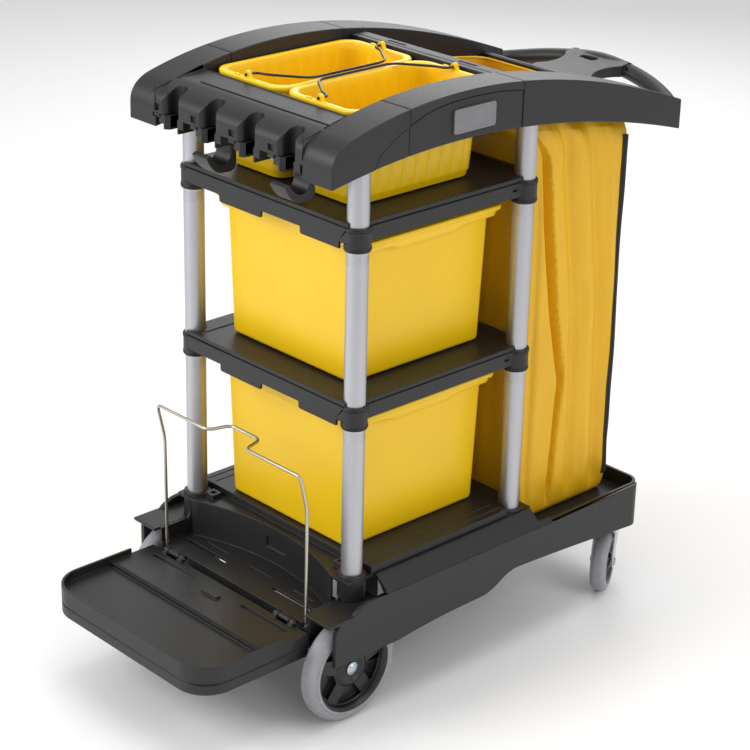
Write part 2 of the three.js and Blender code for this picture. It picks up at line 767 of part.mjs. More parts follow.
function casterTyre() {
  const half = casterWidth / 2;
  const seat = casterRadius - casterTreadDepth + seatGap;
  return turned([
    [seat, -half], [casterRadius - 8, -half], [casterRadius, -half + 9],
    [casterRadius, half - 9], [casterRadius - 8, half], [seat, half],
  ], -casterTrail, casterRadius, 24);
}

for (const [name, side] of sides) {
  addPart(`${name}_caster_plate`, placeCaster(casterPlate(), side), zincSteel);
  addPart(`${name}_caster_fork`, placeCaster(casterFork(), side), zincSteel);
  addPart(`${name}_caster_wheel`, placeCaster(casterWheel(), side), blackPlastic);
  addPart(`${name}_caster_tyre`, placeCaster(casterTyre(), side), greyTyre);
  addPart(`${name}_caster_axle`, placeCaster(crossCylinder(
    casterAxleRadius, -forkHalf - 3, forkHalf + 3, -casterTrail, casterRadius), side), zincSteel);
}

// ---------------------------------------------------------------- bins

function bin(floor) {
  const bottom = floor + seatGap;
  const top = bottom + binHeight;
  const rimHalfY = postY - postRadius - slideGap;
  const outer = leaningBlock(-binHalfX, binHalfX, -binHalfY, binHalfY, bottom, top, 14, binFlare);
  const inner = leaningBlock(
    -binHalfX + binWall, binHalfX - binWall, -binHalfY + binWall, binHalfY - binWall,
    bottom + binWall, top + binWall, 12, binFlare);
  const rim = raised(roundedRectangle(
    -binRimHalfX, binRimHalfX, -rimHalfY, rimHalfY, 16), top - binRimThickness, top, 2);
  const apron = raised(roundedRectangle(
    -binRimHalfX + 14, binRimHalfX - 14, -rimHalfY + 2, rimHalfY - 2, 14),
  top - binRimDepth, top - binRimThickness + 1, 2);
  const underRim = raised(roundedRectangle(
    -binRimHalfX + 17, binRimHalfX - 17, -rimHalfY + 5, rimHalfY - 5, 12),
  top - binRimDepth - 1, top - binRimThickness - 3, 2);
  return cut(join(outer, rim, cut(apron, underRim)), inner);
}

addPart('upper_bin', bin(middleShelfLevel + shelfTopRise), yellowPlastic);
addPart('lower_bin', bin(plinthTop), yellowPlastic);

// ---------------------------------------------------------------- top rails

function railOutline(drop) {
  const shape = new THREE.Shape();
  const crownBottomY = railFront + 0.465 * (railRear - railFront);
  const crownTopY = railFront + 0.442 * (railRear - railFront);
  shape.moveTo(railFront, railNoseBottom - drop * 20);
  shape.quadraticCurveTo(
    crownBottomY, railCrownBottom - drop * 20, railRear, railTailBottom - drop * 20);
  shape.lineTo(railRear, railTailTop - drop * railWall);
  shape.quadraticCurveTo(crownTopY, railCrownTop - drop * railWall,
    railFront + railNoseRound, railNoseTop - drop * railWall);
  shape.quadraticCurveTo(railFront + drop * railWall, railNoseTop - 14,
    railFront + drop * railWall, railNoseTop - 46);
  return shape;
}

// One stretch of a side rail: a channel that is open below.
function railPiece(side, y0, y1) {
  const near = side > 0 ? railInner : -railOuter;
  const width = railOuter - railInner;
  const outer = drawnAcross(railOutline(0), near, near + width, 9);
  const inner = drawnAcross(railOutline(1), near + railWall, near + width - railWall, 9);
  const stretch = box(-railOuter, railOuter, y0, y1, 0, railCrownTop);
  const room = box(-railOuter, railOuter, y0 + railWall, y1 - railWall, 0, railCrownTop);
  const envelope = outer.intersect(stretch);
  let body = cut(envelope, inner.intersect(room));
  for (const [, x, y] of postPlaces) {
    if (Math.sign(x) === side && y > y0 && y < y1) {
      const boss = uprightCylinder(
        socketRadius, x, y, railTailBottom, postHead + railWall).intersect(envelope);
      body = cut(join(body, boss), uprightCylinder(postBore, x, y, railTailBottom, postHead + seatGap));
    }
  }
  return body;
}

for (const [name, side] of sides) {
  addPart(`${name}_middle_rail`, railPiece(side, frontSeam, rearSeam), blackPlastic);
  addPart(`${name}_rear_rail`, railPiece(side, rearSeam + seatGap, railRear), blackPlastic);
}

// ---------------------------------------------------------------- front head

const notchPlaces = [-1.5, -0.5, 0.5, 1.5].map((i) => i * notchSpacing);
const fasciaBack = railFront + fasciaDepth;

function headShell() {
  const shape = new THREE.Shape();
  shape.moveTo(wellFront, headTop);
  shape.lineTo(railFront + 55, headTop - 4);
  shape.quadraticCurveTo(railFront, headTop - 14, railFront, headTop - 38);
  shape.lineTo(railFront, fasciaBottom);
  shape.lineTo(fasciaBack, fasciaBottom);
  shape.lineTo(fasciaBack, headTop - fasciaWall);
  shape.lineTo(wellFront, headTop - headSkin);
  const slab = drawnAcross(shape, -railInner - 1, railInner + 1, 6);
  const lip = box(-railInner - 1, railInner + 1, wellFront - railWall, wellFront, headTop - 34, headTop);
  const notches = notchPlaces.map((x) => join(
    uprightCylinder(notchRadius, x, fasciaBack - notchRadius - 2, 0, railCrownTop, 12),
    box(x - notchRadius + 4, x + notchRadius - 4, railFront - 1, fasciaBack - notchRadius,
      0, railCrownTop)));
  return cut(join(slab, lip), ...notches);
}

addPart('front_head', join(
  railPiece(-1, railFront, frontSeam - seatGap),
  railPiece(1, railFront, frontSeam - seatGap),
  headShell()), blackPlastic);

function toolGrip(x) {
  const top = fasciaBottom - seatGap;
  const plan = outline([
    [x - gripWidth / 2, railFront + 2], [x - gripSlot / 2, railFront + 2],
    [x - gripSlot / 2, fasciaBack - 10], [x + gripSlot / 2, fasciaBack - 10],
    [x + gripSlot / 2, railFront + 2], [x + gripWidth / 2, railFront + 2],
    [x + gripWidth / 2, fasciaBack - 1], [x - gripWidth / 2, fasciaBack - 1],
  ]);
  return raised(plan, top - gripHeight, top);
}

notchPlaces.forEach((x, i) => addPart(`tool_grip_${i + 1}`, toolGrip(x), blackPlastic));

function toolHook(x) {
  const back = fasciaBack + seatGap;
  const top = headTop - fasciaWall - seatGap;
  const shape = new THREE.Shape();
  shape.moveTo(back, top);
  shape.lineTo(back, hookBottom + 26);
  shape.quadraticCurveTo(back - 2, hookBottom + hookThickness, back - 22, hookBottom + hookThickness);
  shape.quadraticCurveTo(back - 42, hookBottom + hookThickness,
    back - hookReach + hookThickness, hookBottom + 38);
  shape.lineTo(back - hookReach, hookBottom + 34);
  shape.quadraticCurveTo(back - 44, hookBottom, back - 20, hookBottom);
  shape.quadraticCurveTo(back + hookThickness, hookBottom, back + hookThickness, hookBottom + 26);
  shape.lineTo(back + hookThickness, top);
  return drawnAcross(shape, x - hookWidth / 2, x + hookWidth / 2, 5);
}

addPart('tool_hook_left', toolHook(notchPlaces[1]), blackPlastic);
addPart('tool_hook_right', toolHook(notchPlaces[3]), blackPlastic);

// ---------------------------------------------------------------- rear crossbar of the bucket well

const crossbarEnd = railInner - seatGap;
addPart('well_crossbar', cut(
  box(-crossbarEnd, crossbarEnd, wellRear, wellRear + wellBarDepth,
    wellBarTop - wellBarHeight, wellBarTop),
  box(-crossbarEnd + railWall, crossbarEnd - railWall, wellRear + railWall,
    wellRear + wellBarDepth - railWall, 0, wellBarTop - railWall)), blackPlastic);

// ---------------------------------------------------------------- handle

const gripMiddleY = handleRear - gripThickness / 2;

function handleGrip() {
  const half = (railInner + railOuter) / 2;
  const bow = new THREE.CatmullRomCurve3([
    [-half, railRear + seatGap, gripEndHeight], [-half + 26, railRear + 34, gripEndHeight + 4],
    [-half / 2, gripMiddleY - 8, gripMiddleHeight - 13], [0, gripMiddleY, gripMiddleHeight],
    [half / 2, gripMiddleY - 8, gripMiddleHeight - 13],
    [half - 26, railRear + 34, gripEndHeight + 4], [half, railRear + seatGap, gripEndHeight],
  ].map((point) => new THREE.Vector3(...point)), false, 'centripetal');
  const places = bow.getPoints(16);
  const ring = Array.from({ length: 10 }, (_, i) => {
    const turn = ((i + 0.5) / 10) * Math.PI * 2;
    return [0.56 * gripThickness * Math.cos(turn), 0.5 * gripThickness * Math.sin(turn)];
  });
  const behindRails = box(
    -railOuter, railOuter, railRear + seatGap, handleRear + 50, 0, railCrownTop);
  return swept(places, outline(ring)).intersect(behindRails);
}

function handle() {
  const barEnd = railInner - seatGap;
  const barRear = bagBarFront + bagBarDepth;
  const barBottom = handleBarTop - handleBarHeight;
  const bar = box(-barEnd, barEnd, bagBarFront, barRear, barBottom, handleBarTop);
  const shape = new THREE.Shape();
  shape.moveTo(barRear - 2, barBottom);
  shape.lineTo(gripMiddleY, barBottom + 4);
  shape.lineTo(gripMiddleY, handleBarTop + 12);
  shape.quadraticCurveTo((barRear + gripMiddleY) / 2, handleBarTop + 4, barRear - 2, handleBarTop);
  const saddle = drawnAcross(shape, -saddleHalfWidth, saddleHalfWidth, 5);
  const hangHole = uprightCylinder(9, 0, gripMiddleY - 26, 0, railCrownTop, 12);
  const hangSlot = box(-24, 0, gripMiddleY - 32, gripMiddleY - 20, 0, railCrownTop);
  return cut(join(bar, saddle, handleGrip()), hangHole, hangSlot);
}

addPart('rear_handle', handle(), blackPlastic);

// ---------------------------------------------------------------- label plate

addPart('label_plate', box(railOuter + seatGap, railOuter + seatGap + labelThickness,
  plateFront, plateFront + plateLength, plateBottom, plateBottom + plateHeight), plateGrey);

// ---------------------------------------------------------------- buckets

function bucket(side) {
  const near = side > 0 ? bucketGap / 2 : -railInner + slideGap;
  const far = side > 0 ? railInner - slideGap : -bucketGap / 2;
  const front = wellFront + slideGap;
  const rear = wellRear - slideGap;
  const bottom = upperShelfLevel + shelfTopRise + seatGap;
  const inset = bucketRimWidth + bucketTaper;
  const shell = leaningBlock(near + inset, far - inset, front + inset, rear - inset,
    bottom, bucketTop, 26, bucketTaper);
  const hollow = leaningBlock(near + inset + bucketWall, far - inset - bucketWall,
    front + inset + bucketWall, rear - inset - bucketWall,
    bottom + bucketWall, bucketTop + bucketWall, 23, bucketTaper);
  const rim = raised(
    roundedRectangle(near, far, front, rear, bucketCorner), bucketTop - bucketRimHeight, bucketTop, 2);
  const underRim = raised(roundedRectangle(near + bucketWall, far - bucketWall, front + bucketWall,
    rear - bucketWall, bucketCorner - bucketWall),
  bucketTop - bucketRimHeight - 1, bucketTop - bucketWall, 2);
  const pivotX = (near + far) / 2;
  const lugs = [front + bucketRimWidth / 2 + 2, rear - bucketRimWidth / 2 - 2].map((y) =>
    box(pivotX - lugHalf, pivotX + lugHalf, y - 4, y + 4, bucketTop - 1, bucketTop + lugHeight));
  const pivotBore = drawnAlong(
    circleAt(bailDiameter / 2 + seatGap, pivotX, bailHeight), front - 1, rear + 1);
  return cut(join(shell, cut(rim, underRim), ...lugs), hollow, pivotBore);
}

// The bail's ends pass through the lugs; at rest it lies towards the middle.
function bucketBail(side) {
  const near = side > 0 ? bucketGap / 2 : -railInner + slideGap;
  const far = side > 0 ? railInner - slideGap : -bucketGap / 2;
  const pivotX = (near + far) / 2;
  const front = wellFront + slideGap + 1;
  const rear = wellRear - slideGap - 1;
  const runX = side * (bucketGap / 2 + bailDiameter + 1);
  const lugY = bucketRimWidth + 14;
  return wire([
    [pivotX, front, bailHeight], [pivotX, front + lugY, bailHeight],
    [pivotX - side * 22, front + lugY + 6, bailHeight],
    [runX, front + lugY + 52, bailHeight], [runX, rear - lugY - 52, bailHeight],
    [pivotX - side * 22, rear - lugY - 6, bailHeight],
    [pivotX, rear - lugY, bailHeight], [pivotX, rear, bailHeight],
  ], bailDiameter, 20, 6);
}

for (const [name, side] of sides) {
  addPart(`${name}_bucket`, bucket(side), yellowPlastic);
  addPart(`${name}_bucket_bail`, bucketBail(side), blackWire);
}

// ---------------------------------------------------------------- waste bag

function bagShell(inset, bottom, top, neckTop) {
  const body = raised(roundedRectangle(-bagHalfX + inset, bagHalfX - inset,
    bagFront + inset, bagRear - inset, bagCorner), bottom, top, 3);
  const neckFront = wellRear + wellBarDepth + bagGap;
  const neck = drawnAcross(outline([
    [bagFront + inset, top - 60], [bagRear - inset, top - 60],
    [bagRear - inset, neckTop - 8], [neckFront + inset, neckTop + 50],
    [neckFront + inset, top + 80], [bagFront + inset, top + 10],
  ]), -railInner + 4 + inset, railInner - 4 - inset);
  return join(body, neck);
}

addPart('waste_bag', cut(
  bagShell(0, trayFloor + seatGap, bagShoulder, bagNeckTop),
  bagShell(bagWall, trayFloor + bagWall, bagShoulder - bagWall, bagNeckTop + 20)), yellowVinyl);

addPart('bag_zip', box(
  bagHalfX + seatGap, bagHalfX + seatGap + zipThickness,
  bagRear - zipInset - zipWidth, bagRear - zipInset, trayRim + 10, bagShoulder - 20), zipBlack);

// ---------------------------------------------------------------- folding platform

function platformPlan(inset, rear) {
  const corner = platformCorner - inset;
  const half = platformHalfWidth - inset;
  const front = platformFront + inset;
  const shape = new THREE.Shape();
  shape.moveTo(half, rear);
  shape.lineTo(-half, rear);
  shape.lineTo(-half, front + corner);
  shape.absarc(-half + corner, front + corner, corner, Math.PI, Math.PI * 1.5);
  shape.lineTo(half - corner, front);
  shape.absarc(half - corner, front + corner, corner, -Math.PI / 2, 0);
  return shape;
}

function platform() {
  const rear = hingeY - 2;
  const shell = raised(platformPlan(0, rear), platformBottom, platformRim, 5);
  const tray = raised(platformPlan(platformWall, platformStep), platformTray, platformRim + 1, 5);
  const band = box(-platformHalfWidth + platformWall, platformHalfWidth - platformWall,
    platformStep - 1, rear + 1, platformBand, platformRim + 1);
  const rearEdge = box(-platformHalfWidth - 1, platformHalfWidth + 1,
    hingeY - platformRimEnd, rear + 1, platformBand, platformRim + 1);
  const under = raised(platformPlan(platformWall, rear - platformWall),
    platformBottom - 1, platformTray - platformWall, 5);
  const slotMiddle = hingeY - 25;
  const slots = sides.map(([, side]) => sideBox(side, slotNear, slotNear + slotLength,
    slotMiddle - slotWidth / 2, slotMiddle + slotWidth / 2, 0, platformRim + 1));
  const knuckleRooms = sides.map(([, side]) => box(
    side * knuckleX - knuckleHalf - 1, side * knuckleX + knuckleHalf + 1,
    hingeY - knuckleRadius - 1.5, rear + 1, 0, platformRim + 10));
  const lugs = sides.flatMap(([, side]) => [-1, 1].map((end) => {
    const middle = side * knuckleX + end * (knuckleHalf + 1.5 + 6);
    return join(
      crossCylinder(knuckleRadius, middle - 6, middle + 6, hingeY, hingeZ),
      box(middle - 6, middle + 6, hingeY - 10, hingeY, hingeZ - knuckleRadius - 4, hingeZ));
  }));
  const pins = sides.map(([, side]) => crossCylinder(
    hingePinRadius + seatGap, side * knuckleX - hingePinHalf - 3,
    side * knuckleX + hingePinHalf + 3, hingeY, hingeZ));
  return cut(join(cut(shell, tray, band, rearEdge, under), ...lugs), ...slots, ...knuckleRooms, ...pins);
}

addPart('folding_platform', platform(), blackPlastic);
for (const [name, side] of sides) {
  const middle = side * knuckleX;
  addPart(`${name}_platform_pin`, crossCylinder(
    hingePinRadius, middle - hingePinHalf, middle + hingePinHalf, hingeY, hingeZ), zincSteel);
}

// ---------------------------------------------------------------- wire frame

addPart('wire_frame', wire([
  [-frameHalfWidth + 2, frameY, frameFoot], [-frameHalfWidth, frameY, frameTop - kickHeight],
  [-frameHalfWidth, frameY - frameKick, frameTop], [-jogHalfWidth - 12, frameY - frameKick, frameTop],
  [-jogHalfWidth, frameY - frameKick + jogDepth, frameTop],
  [jogHalfWidth, frameY - frameKick + jogDepth, frameTop],
  [jogHalfWidth + 12, frameY - frameKick, frameTop], [frameHalfWidth, frameY - frameKick, frameTop],
  [frameHalfWidth, frameY, frameTop - kickHeight], [frameHalfWidth - 2, frameY, frameFoot],
], frameWire, 14), brightWire);

cart.position.y = -footprintMiddle;

export default cart;
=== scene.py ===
import math
from collections import namedtuple

import bmesh
import bpy
from mathutils import Matrix, Vector, noise


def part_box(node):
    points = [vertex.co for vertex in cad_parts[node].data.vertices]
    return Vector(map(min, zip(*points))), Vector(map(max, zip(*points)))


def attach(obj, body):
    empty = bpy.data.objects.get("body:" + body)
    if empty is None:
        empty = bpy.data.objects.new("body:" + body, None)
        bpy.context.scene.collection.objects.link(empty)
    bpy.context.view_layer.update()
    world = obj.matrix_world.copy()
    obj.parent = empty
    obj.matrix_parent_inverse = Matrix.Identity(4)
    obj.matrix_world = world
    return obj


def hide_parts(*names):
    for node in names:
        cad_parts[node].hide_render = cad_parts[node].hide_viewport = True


bl_info = {
    "name": "Cleaning cart",
    "version": (1, 0, 0),
    "blender": (4, 5, 0),
    "location": "View3D > Sidebar > Cart",
    "description": "Builds a wheeled cleaning cart with bins, buckets, a platform and a waste bag",
    "category": "Object",
}

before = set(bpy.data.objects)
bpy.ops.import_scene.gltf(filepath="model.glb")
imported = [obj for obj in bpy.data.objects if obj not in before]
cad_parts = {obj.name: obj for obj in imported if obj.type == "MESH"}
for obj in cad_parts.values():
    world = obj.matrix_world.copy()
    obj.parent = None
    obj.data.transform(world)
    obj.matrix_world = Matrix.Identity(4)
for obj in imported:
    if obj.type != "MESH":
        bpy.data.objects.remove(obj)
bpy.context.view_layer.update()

# Shapes are worked out in millimetres, with y = 0 midway between the posts.
MM = 0.001
Box = namedtuple("Box", "x0 x1 y0 y1 z0 z1")
SIDES = (("left", -1), ("right", 1))
POSTS = ("post_front_left", "post_front_right", "post_rear_left", "post_rear_right")


def middle_of_posts():
    lows = [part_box(name)[0].y for name in POSTS]
    highs = [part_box(name)[1].y for name in POSTS]
    return (min(lows) + max(highs)) / 2 / MM


SHIFT_Y = middle_of_posts()


def box_of(node):
    low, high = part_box(node)
    return Box(low.x / MM, high.x / MM, low.y / MM - SHIFT_Y, high.y / MM - SHIFT_Y,
               low.z / MM, high.z / MM)


FRONT_POST = box_of("post_front_right")
REAR_POST = box_of("post_rear_right")
POST_RADIUS = (FRONT_POST.x1 - FRONT_POST.x0) / 2
POST_X = FRONT_POST.x1 - POST_RADIUS
POST_Y = REAR_POST.y1 - POST_RADIUS
POST_PLACES = [(x, y) for x in (-POST_X, POST_X) for y in (-POST_Y, POST_Y)]
POST_BORE = POST_RADIUS + 0.3
UPPER_SHELF = box_of("upper_shelf")
MIDDLE_SHELF = box_of("middle_shelf")
COLLAR_RADIUS = UPPER_SHELF.x1 - POST_X
BASE = box_of("base_chassis")
SKIRT = box_of("right_side_skirt")
TYRE = box_of("right_wheel_tyre")
WHEEL_Y = (TYRE.y0 + TYRE.y1) / 2
WHEEL_RADIUS = (TYRE.z1 - TYRE.z0) / 2
RAIL = box_of("right_middle_rail")
REAR_RAIL = box_of("right_rear_rail")
HEAD = box_of("front_head")
HANDLE = box_of("rear_handle")
CROSSBAR = box_of("well_crossbar")
BAG = box_of("waste_bag")
PLATFORM = box_of("folding_platform")
PIN = box_of("right_platform_pin")
WIRE_FRAME = box_of("wire_frame")
PLATE = box_of("label_plate")


# ---------------------------------------------------------------- outlines

def arc(a, b, radius, start, end, steps=8):
    turns = [math.radians(start + (end - start) * i / steps) for i in range(steps + 1)]
    return [(a + radius * math.cos(t), b + radius * math.sin(t)) for t in turns]


def bend(first, pull, last, steps=10):
    points = []
    for i in range(steps + 1):
        t = i / steps
        points.append(tuple(
            (1 - t) ** 2 * p + 2 * t * (1 - t) * c + t * t * q
            for p, c, q in zip(first, pull, last)))
    return points


def double_bend(first, pull, push, last, steps=14):
    points = []
    for i in range(steps + 1):
        t = i / steps
        points.append(tuple(
            (1 - t) ** 3 * a + 3 * t * (1 - t) ** 2 * b + 3 * t * t * (1 - t) * c + t ** 3 * d
            for a, b, c, d in zip(first, pull, push, last)))
    return points


def outline(*parts):
    """One list of points from single points and lists of them, with repeats left out."""
    points = []
    for part in parts:
        for point in part if isinstance(part, list) else [part]:
            if not points or math.dist(point, points[-1]) > 0.01:
                points.append(point)
    if math.dist(points[0], points[-1]) < 0.01:
        points.pop()
    return points


def rounded(x0, x1, y0, y1, radius, steps=6):
    return outline(
        arc(x1 - radius, y0 + radius, radius, -90, 0, steps),
        arc(x1 - radius, y1 - radius, radius, 0, 90, steps),
        arc(x0 + radius, y1 - radius, radius, 90, 180, steps),
        arc(x0 + radius, y0 + radius, radius, 180, 270, steps))


def smoothstep(low, high, value):
    t = min(1, max(0, (value - low) / (high - low)))
    return t * t * (3 - 2 * t)


def along(stops, value):
    """The height over value of a line through (place, height) stops."""
    for (a, p), (b, q) in zip(stops, stops[1:]):
        if value <= b:
            return p + (q - p) * max(0, value - a) / (b - a)
    return stops[-1][1]


# ---------------------------------------------------------------- solids

AXES = {"x": Vector((1, 0, 0)), "y": Vector((0, 1, 0)), "z": Vector((0, 0, 1))}


def block(x0, x1, y0, y1, z0, z1):
    bm = bmesh.new()
    bmesh.ops.create_cube(bm, size=1)
    bmesh.ops.scale(bm, vec=(x1 - x0, y1 - y0, z1 - z0), verts=bm.verts)
    bmesh.ops.translate(bm, vec=((x0 + x1) / 2, (y0 + y1) / 2, (z0 + z1) / 2), verts=bm.verts)
    return bm


def side_block(side, near, far, y0, y1, z0, z1):
    return block(min(side * near, side * far), max(side * near, side * far), y0, y1, z0, z1)


def drawn(points, axis, start, end):
    """A flat outline drawn out along an axis. Its points lie in the plane across it."""
    spread = {"x": lambda a, b: (start, a, b),
              "y": lambda a, b: (a, start, b),
              "z": lambda a, b: (a, b, start)}[axis]
    bm = bmesh.new()
    face = bm.faces.new([bm.verts.new(spread(a, b)) for a, b in points])
    grown = bmesh.ops.extrude_face_region(bm, geom=[face])["geom"]
    bmesh.ops.translate(bm, vec=AXES[axis] * (end - start),
                        verts=[g for g in grown if isinstance(g, bmesh.types.BMVert)])
    bmesh.ops.recalc_face_normals(bm, faces=bm.faces)
    return bm


def upright(radius, x, y, z0, z1, sides=48):
    return drawn(outline(arc(x, y, radius, 0, 360, sides)), "z", z0, z1)


def crossways(radius, x0, x1, y, z, sides=32):
    return drawn(outline(arc(y, z, radius, 0, 360, sides)), "x", x0, x1)


def turned(profile, axis, centre, sides=64):
    """A closed profile of (radius, place along the axis) turned once round."""
    bm = bmesh.new()
    reach = AXES["z"] if axis == "x" else AXES["x"]
    verts = [bm.verts.new(Vector(centre) + AXES[axis] * place + reach * radius)
             for radius, place in profile]
    edges = [bm.edges.new((verts[i - 1], verts[i])) for i in range(len(verts))]
    bmesh.ops.spin(bm, geom=verts + edges, cent=centre, axis=AXES[axis],
                   angle=math.tau, steps=sides, use_merge=True)
    bmesh.ops.remove_doubles(bm, verts=bm.verts, dist=0.001)
    bmesh.ops.recalc_face_normals(bm, faces=bm.faces)
    return bm


def lofted(rings, first_cap=True, last_cap=True):
    """A skin over rings of equally many points."""
    bm = bmesh.new()
    ring = [bm.verts.new(point) for point in rings[0]]
    if first_cap:
        bm.faces.new(ring)
    count = len(ring)
    edges = [bm.edges.get((ring[i - 1], ring[i])) or bm.edges.new((ring[i - 1], ring[i]))
             for i in range(count)]
    for points in rings[1:]:
        grown = bmesh.ops.extrude_edge_only(bm, edges=edges)["geom"]
        fresh = {g for g in grown if isinstance(g, bmesh.types.BMVert)}
        ring = [next(e.other_vert(v) for e in v.link_edges if e.other_vert(v) in fresh)
                for v in ring]
        for vert, point in zip(ring, points):
            vert.co = point
        edges = [bm.edges.get((ring[i - 1], ring[i])) for i in range(count)]
    if last_cap:
        bm.faces.new(ring)
    bmesh.ops.recalc_face_normals(bm, faces=bm.faces)
    return bm


def tube(path, radius, sides=16, flat=1.0, hint=(0, 0, 1)):
    """A round rod along a path. Flat below 1 makes it thinner along the hint."""
    path = [Vector(point) for point in path]
    rings = []
    normal = Vector(hint)
    for i, place in enumerate(path):
        ahead = (path[min(i + 1, len(path) - 1)] - path[max(i - 1, 0)]).normalized()
        normal = (normal - ahead * normal.dot(ahead)).normalized()
        across = ahead.cross(normal)
        rings.append([
            place + across * (radius * math.cos(math.tau * k / sides))
            + normal * (radius * flat * math.sin(math.tau * k / sides))
            for k in range(sides)])
    return lofted(rings)


def bent_path(points, radius, steps=6):
    """Straight runs joined by round bends."""
    points = [Vector(point) for point in points]
    path = [points[0]]
    for before, corner, after in zip(points, points[1:], points[2:]):
        back = before - corner
        on = after - corner
        reach = min(radius, back.length / 2, on.length / 2)
        path += [Vector(p) for p in bend(
            corner + back.normalized() * reach, corner, corner + on.normalized() * reach, steps)]
    return path + [points[-1]]


def mirrored(bm):
    bmesh.ops.scale(bm, vec=(-1, 1, 1), verts=bm.verts)
    bmesh.ops.recalc_face_normals(bm, faces=bm.faces)
    return bm


OPERATIONS = {"+": "UNION", "-": "DIFFERENCE", "&": "INTERSECT"}


def as_object(bm, name="blank"):
    mesh = bpy.data.meshes.new(name)
    bm.to_mesh(mesh)
    bm.free()
    obj = bpy.data.objects.new(name, mesh)
    bpy.context.scene.collection.objects.link(obj)
    return obj


def closed(mesh):
    """Whether every edge of the mesh has exactly two faces."""
    uses = [0] * len(mesh.edges)
    for loop in mesh.loops:
        uses[loop.edge_index] += 1
    return all(count == 2 for count in uses)


def shaped(start, *steps):
    """The start with other solids joined to it (+), cut from it (-) or kept in common (&)."""
    blank = as_object(start)
    whole = closed(blank.data)
    tools = []
    for sign, tool in steps:
        tools.append(as_object(tool))
        modifier = blank.modifiers.new("step", "BOOLEAN")
        modifier.object = tools[-1]
        modifier.operation = OPERATIONS[sign]
        modifier.solver = "MANIFOLD" if whole and closed(tools[-1].data) else "EXACT"
    result = bmesh.new()
    result.from_object(blank, bpy.context.evaluated_depsgraph_get())
    for obj in [blank, *tools]:
        mesh = obj.data
        bpy.data.objects.remove(obj)
        bpy.data.meshes.remove(mesh)
    bmesh.ops.remove_doubles(result, verts=result.verts, dist=0.001)
    return result


def cut_by(*tools):
    return [("-", tool) for tool in tools]


def joined_by(*tools):
    return [("+", tool) for tool in tools]


# ---------------------------------------------------------------- finishes

class Amount:
    """A number that varies over a surface. Arithmetic on it adds Math nodes."""

    def __init__(self, finish, socket):
        self.finish = finish
        self.socket = socket

    def work(self, operation, first, second):
        made = self.finish.node("ShaderNodeMath", {"operation": operation}, {0: first, 1: second})
        return Amount(self.finish, made.outputs[0])

    def __add__(self, other):
        return self.work("ADD", self, other)

    def __radd__(self, other):
        return self.work("ADD", other, self)

    def __sub__(self, other):
        return self.work("SUBTRACT", self, other)

    def __rsub__(self, other):
        return self.work("SUBTRACT", other, self)

    def __mul__(self, other):
        return self.work("MULTIPLY", self, other)

    def __rmul__(self, other):
        return self.work("MULTIPLY", other, self)

    def __pow__(self, other):
        return self.work("POWER", self, other)


class Finish:
    """A material whose look is put together from nodes."""

    def __init__(self, name, metallic=0.0, **constants):
        self.material = bpy.data.materials.new(name)
        self.material.use_nodes = True
        self.tree = self.material.node_tree
        self.shader = self.tree.nodes["Principled BSDF"]
        self.shader.inputs["Metallic"].default_value = metallic
        for socket, value in constants.items():
            self.shader.inputs[socket.replace("_", " ")].default_value = value
        self.place = self.node("ShaderNodeTexCoord").outputs["Object"]

    def node(self, kind, settings=None, sockets=None):
        made = self.tree.nodes.new(kind)
        for key, value in (settings or {}).items():
            setattr(made, key, value)
        for key, value in (sockets or {}).items():
            if isinstance(value, Amount):
                value = value.socket
            if isinstance(value, bpy.types.NodeSocket):
                self.tree.links.new(value, made.inputs[key])
            else:
                made.inputs[key].default_value = value
        return made

    def grain(self, size, detail=3, stretch=(1, 1, 1), rough=0.55):
        """Noise whose grains are size mm across."""
        mapped = self.node("ShaderNodeMapping", None, {
            "Vector": self.place, "Scale": [1 / (size * MM * s) for s in stretch]})
        made = self.node("ShaderNodeTexNoise", None, {
            "Vector": mapped.outputs[0], "Scale": 1, "Detail": detail, "Roughness": rough})
        return Amount(self, made.outputs[0])

    def bands(self, spacing, direction, warp=0.0):
        made = self.node("ShaderNodeTexWave", {"bands_direction": direction}, {
            "Vector": self.place, "Scale": 0.31416 / (spacing * MM), "Distortion": warp})
        return Amount(self, made.outputs[1])

    def stepped(self, amount, low, high):
        made = self.node("ShaderNodeMapRange", {"interpolation_type": "SMOOTHSTEP"}, {
            "Value": amount, "From Min": low, "From Max": high})
        return Amount(self, made.outputs[0])

    def mixed(self, amount, first, second):
        made = self.node("ShaderNodeMix", {"data_type": "RGBA"}, {0: amount, 6: first, 7: second})
        return made.outputs[2]

    def set(self, socket, value):
        if isinstance(value, Amount):
            value = value.socket
        self.tree.links.new(value, self.shader.inputs[socket])

    def relief(self, height, depth, strength=1.0):
        made = self.node("ShaderNodeBump", None, {
            "Height": height, "Distance": depth * MM, "Strength": strength})
        self.set("Normal", made.outputs[0])


def tone(colour, factor):
    return (colour[0] * factor, colour[1] * factor, colour[2] * factor, 1)


def make_black_plastic(finish, colour):
    cloud = finish.grain(60)
    scuff = finish.stepped(finish.grain(9, 5, (1, 1, 0.3)), 0.56, 0.78)
    faded = finish.mixed(cloud, tone(colour, 0.82), tone(colour, 1.2))
    finish.set("Base Color", finish.mixed(scuff * 0.35, faded, tone(colour, 2.1)))
    finish.set("Roughness", 0.4 + 0.14 * finish.grain(4) + 0.1 * scuff)
    finish.relief(finish.grain(0.9, 2), 0.1, 0.5)


def make_hub_plastic(finish, colour):
    finish.set("Base Color", finish.mixed(finish.grain(30), tone(colour, 0.7), tone(colour, 1.1)))
    finish.set("Roughness", 0.26 + 0.12 * finish.grain(7))
    finish.relief(finish.grain(2.5, 2), 0.06, 0.4)


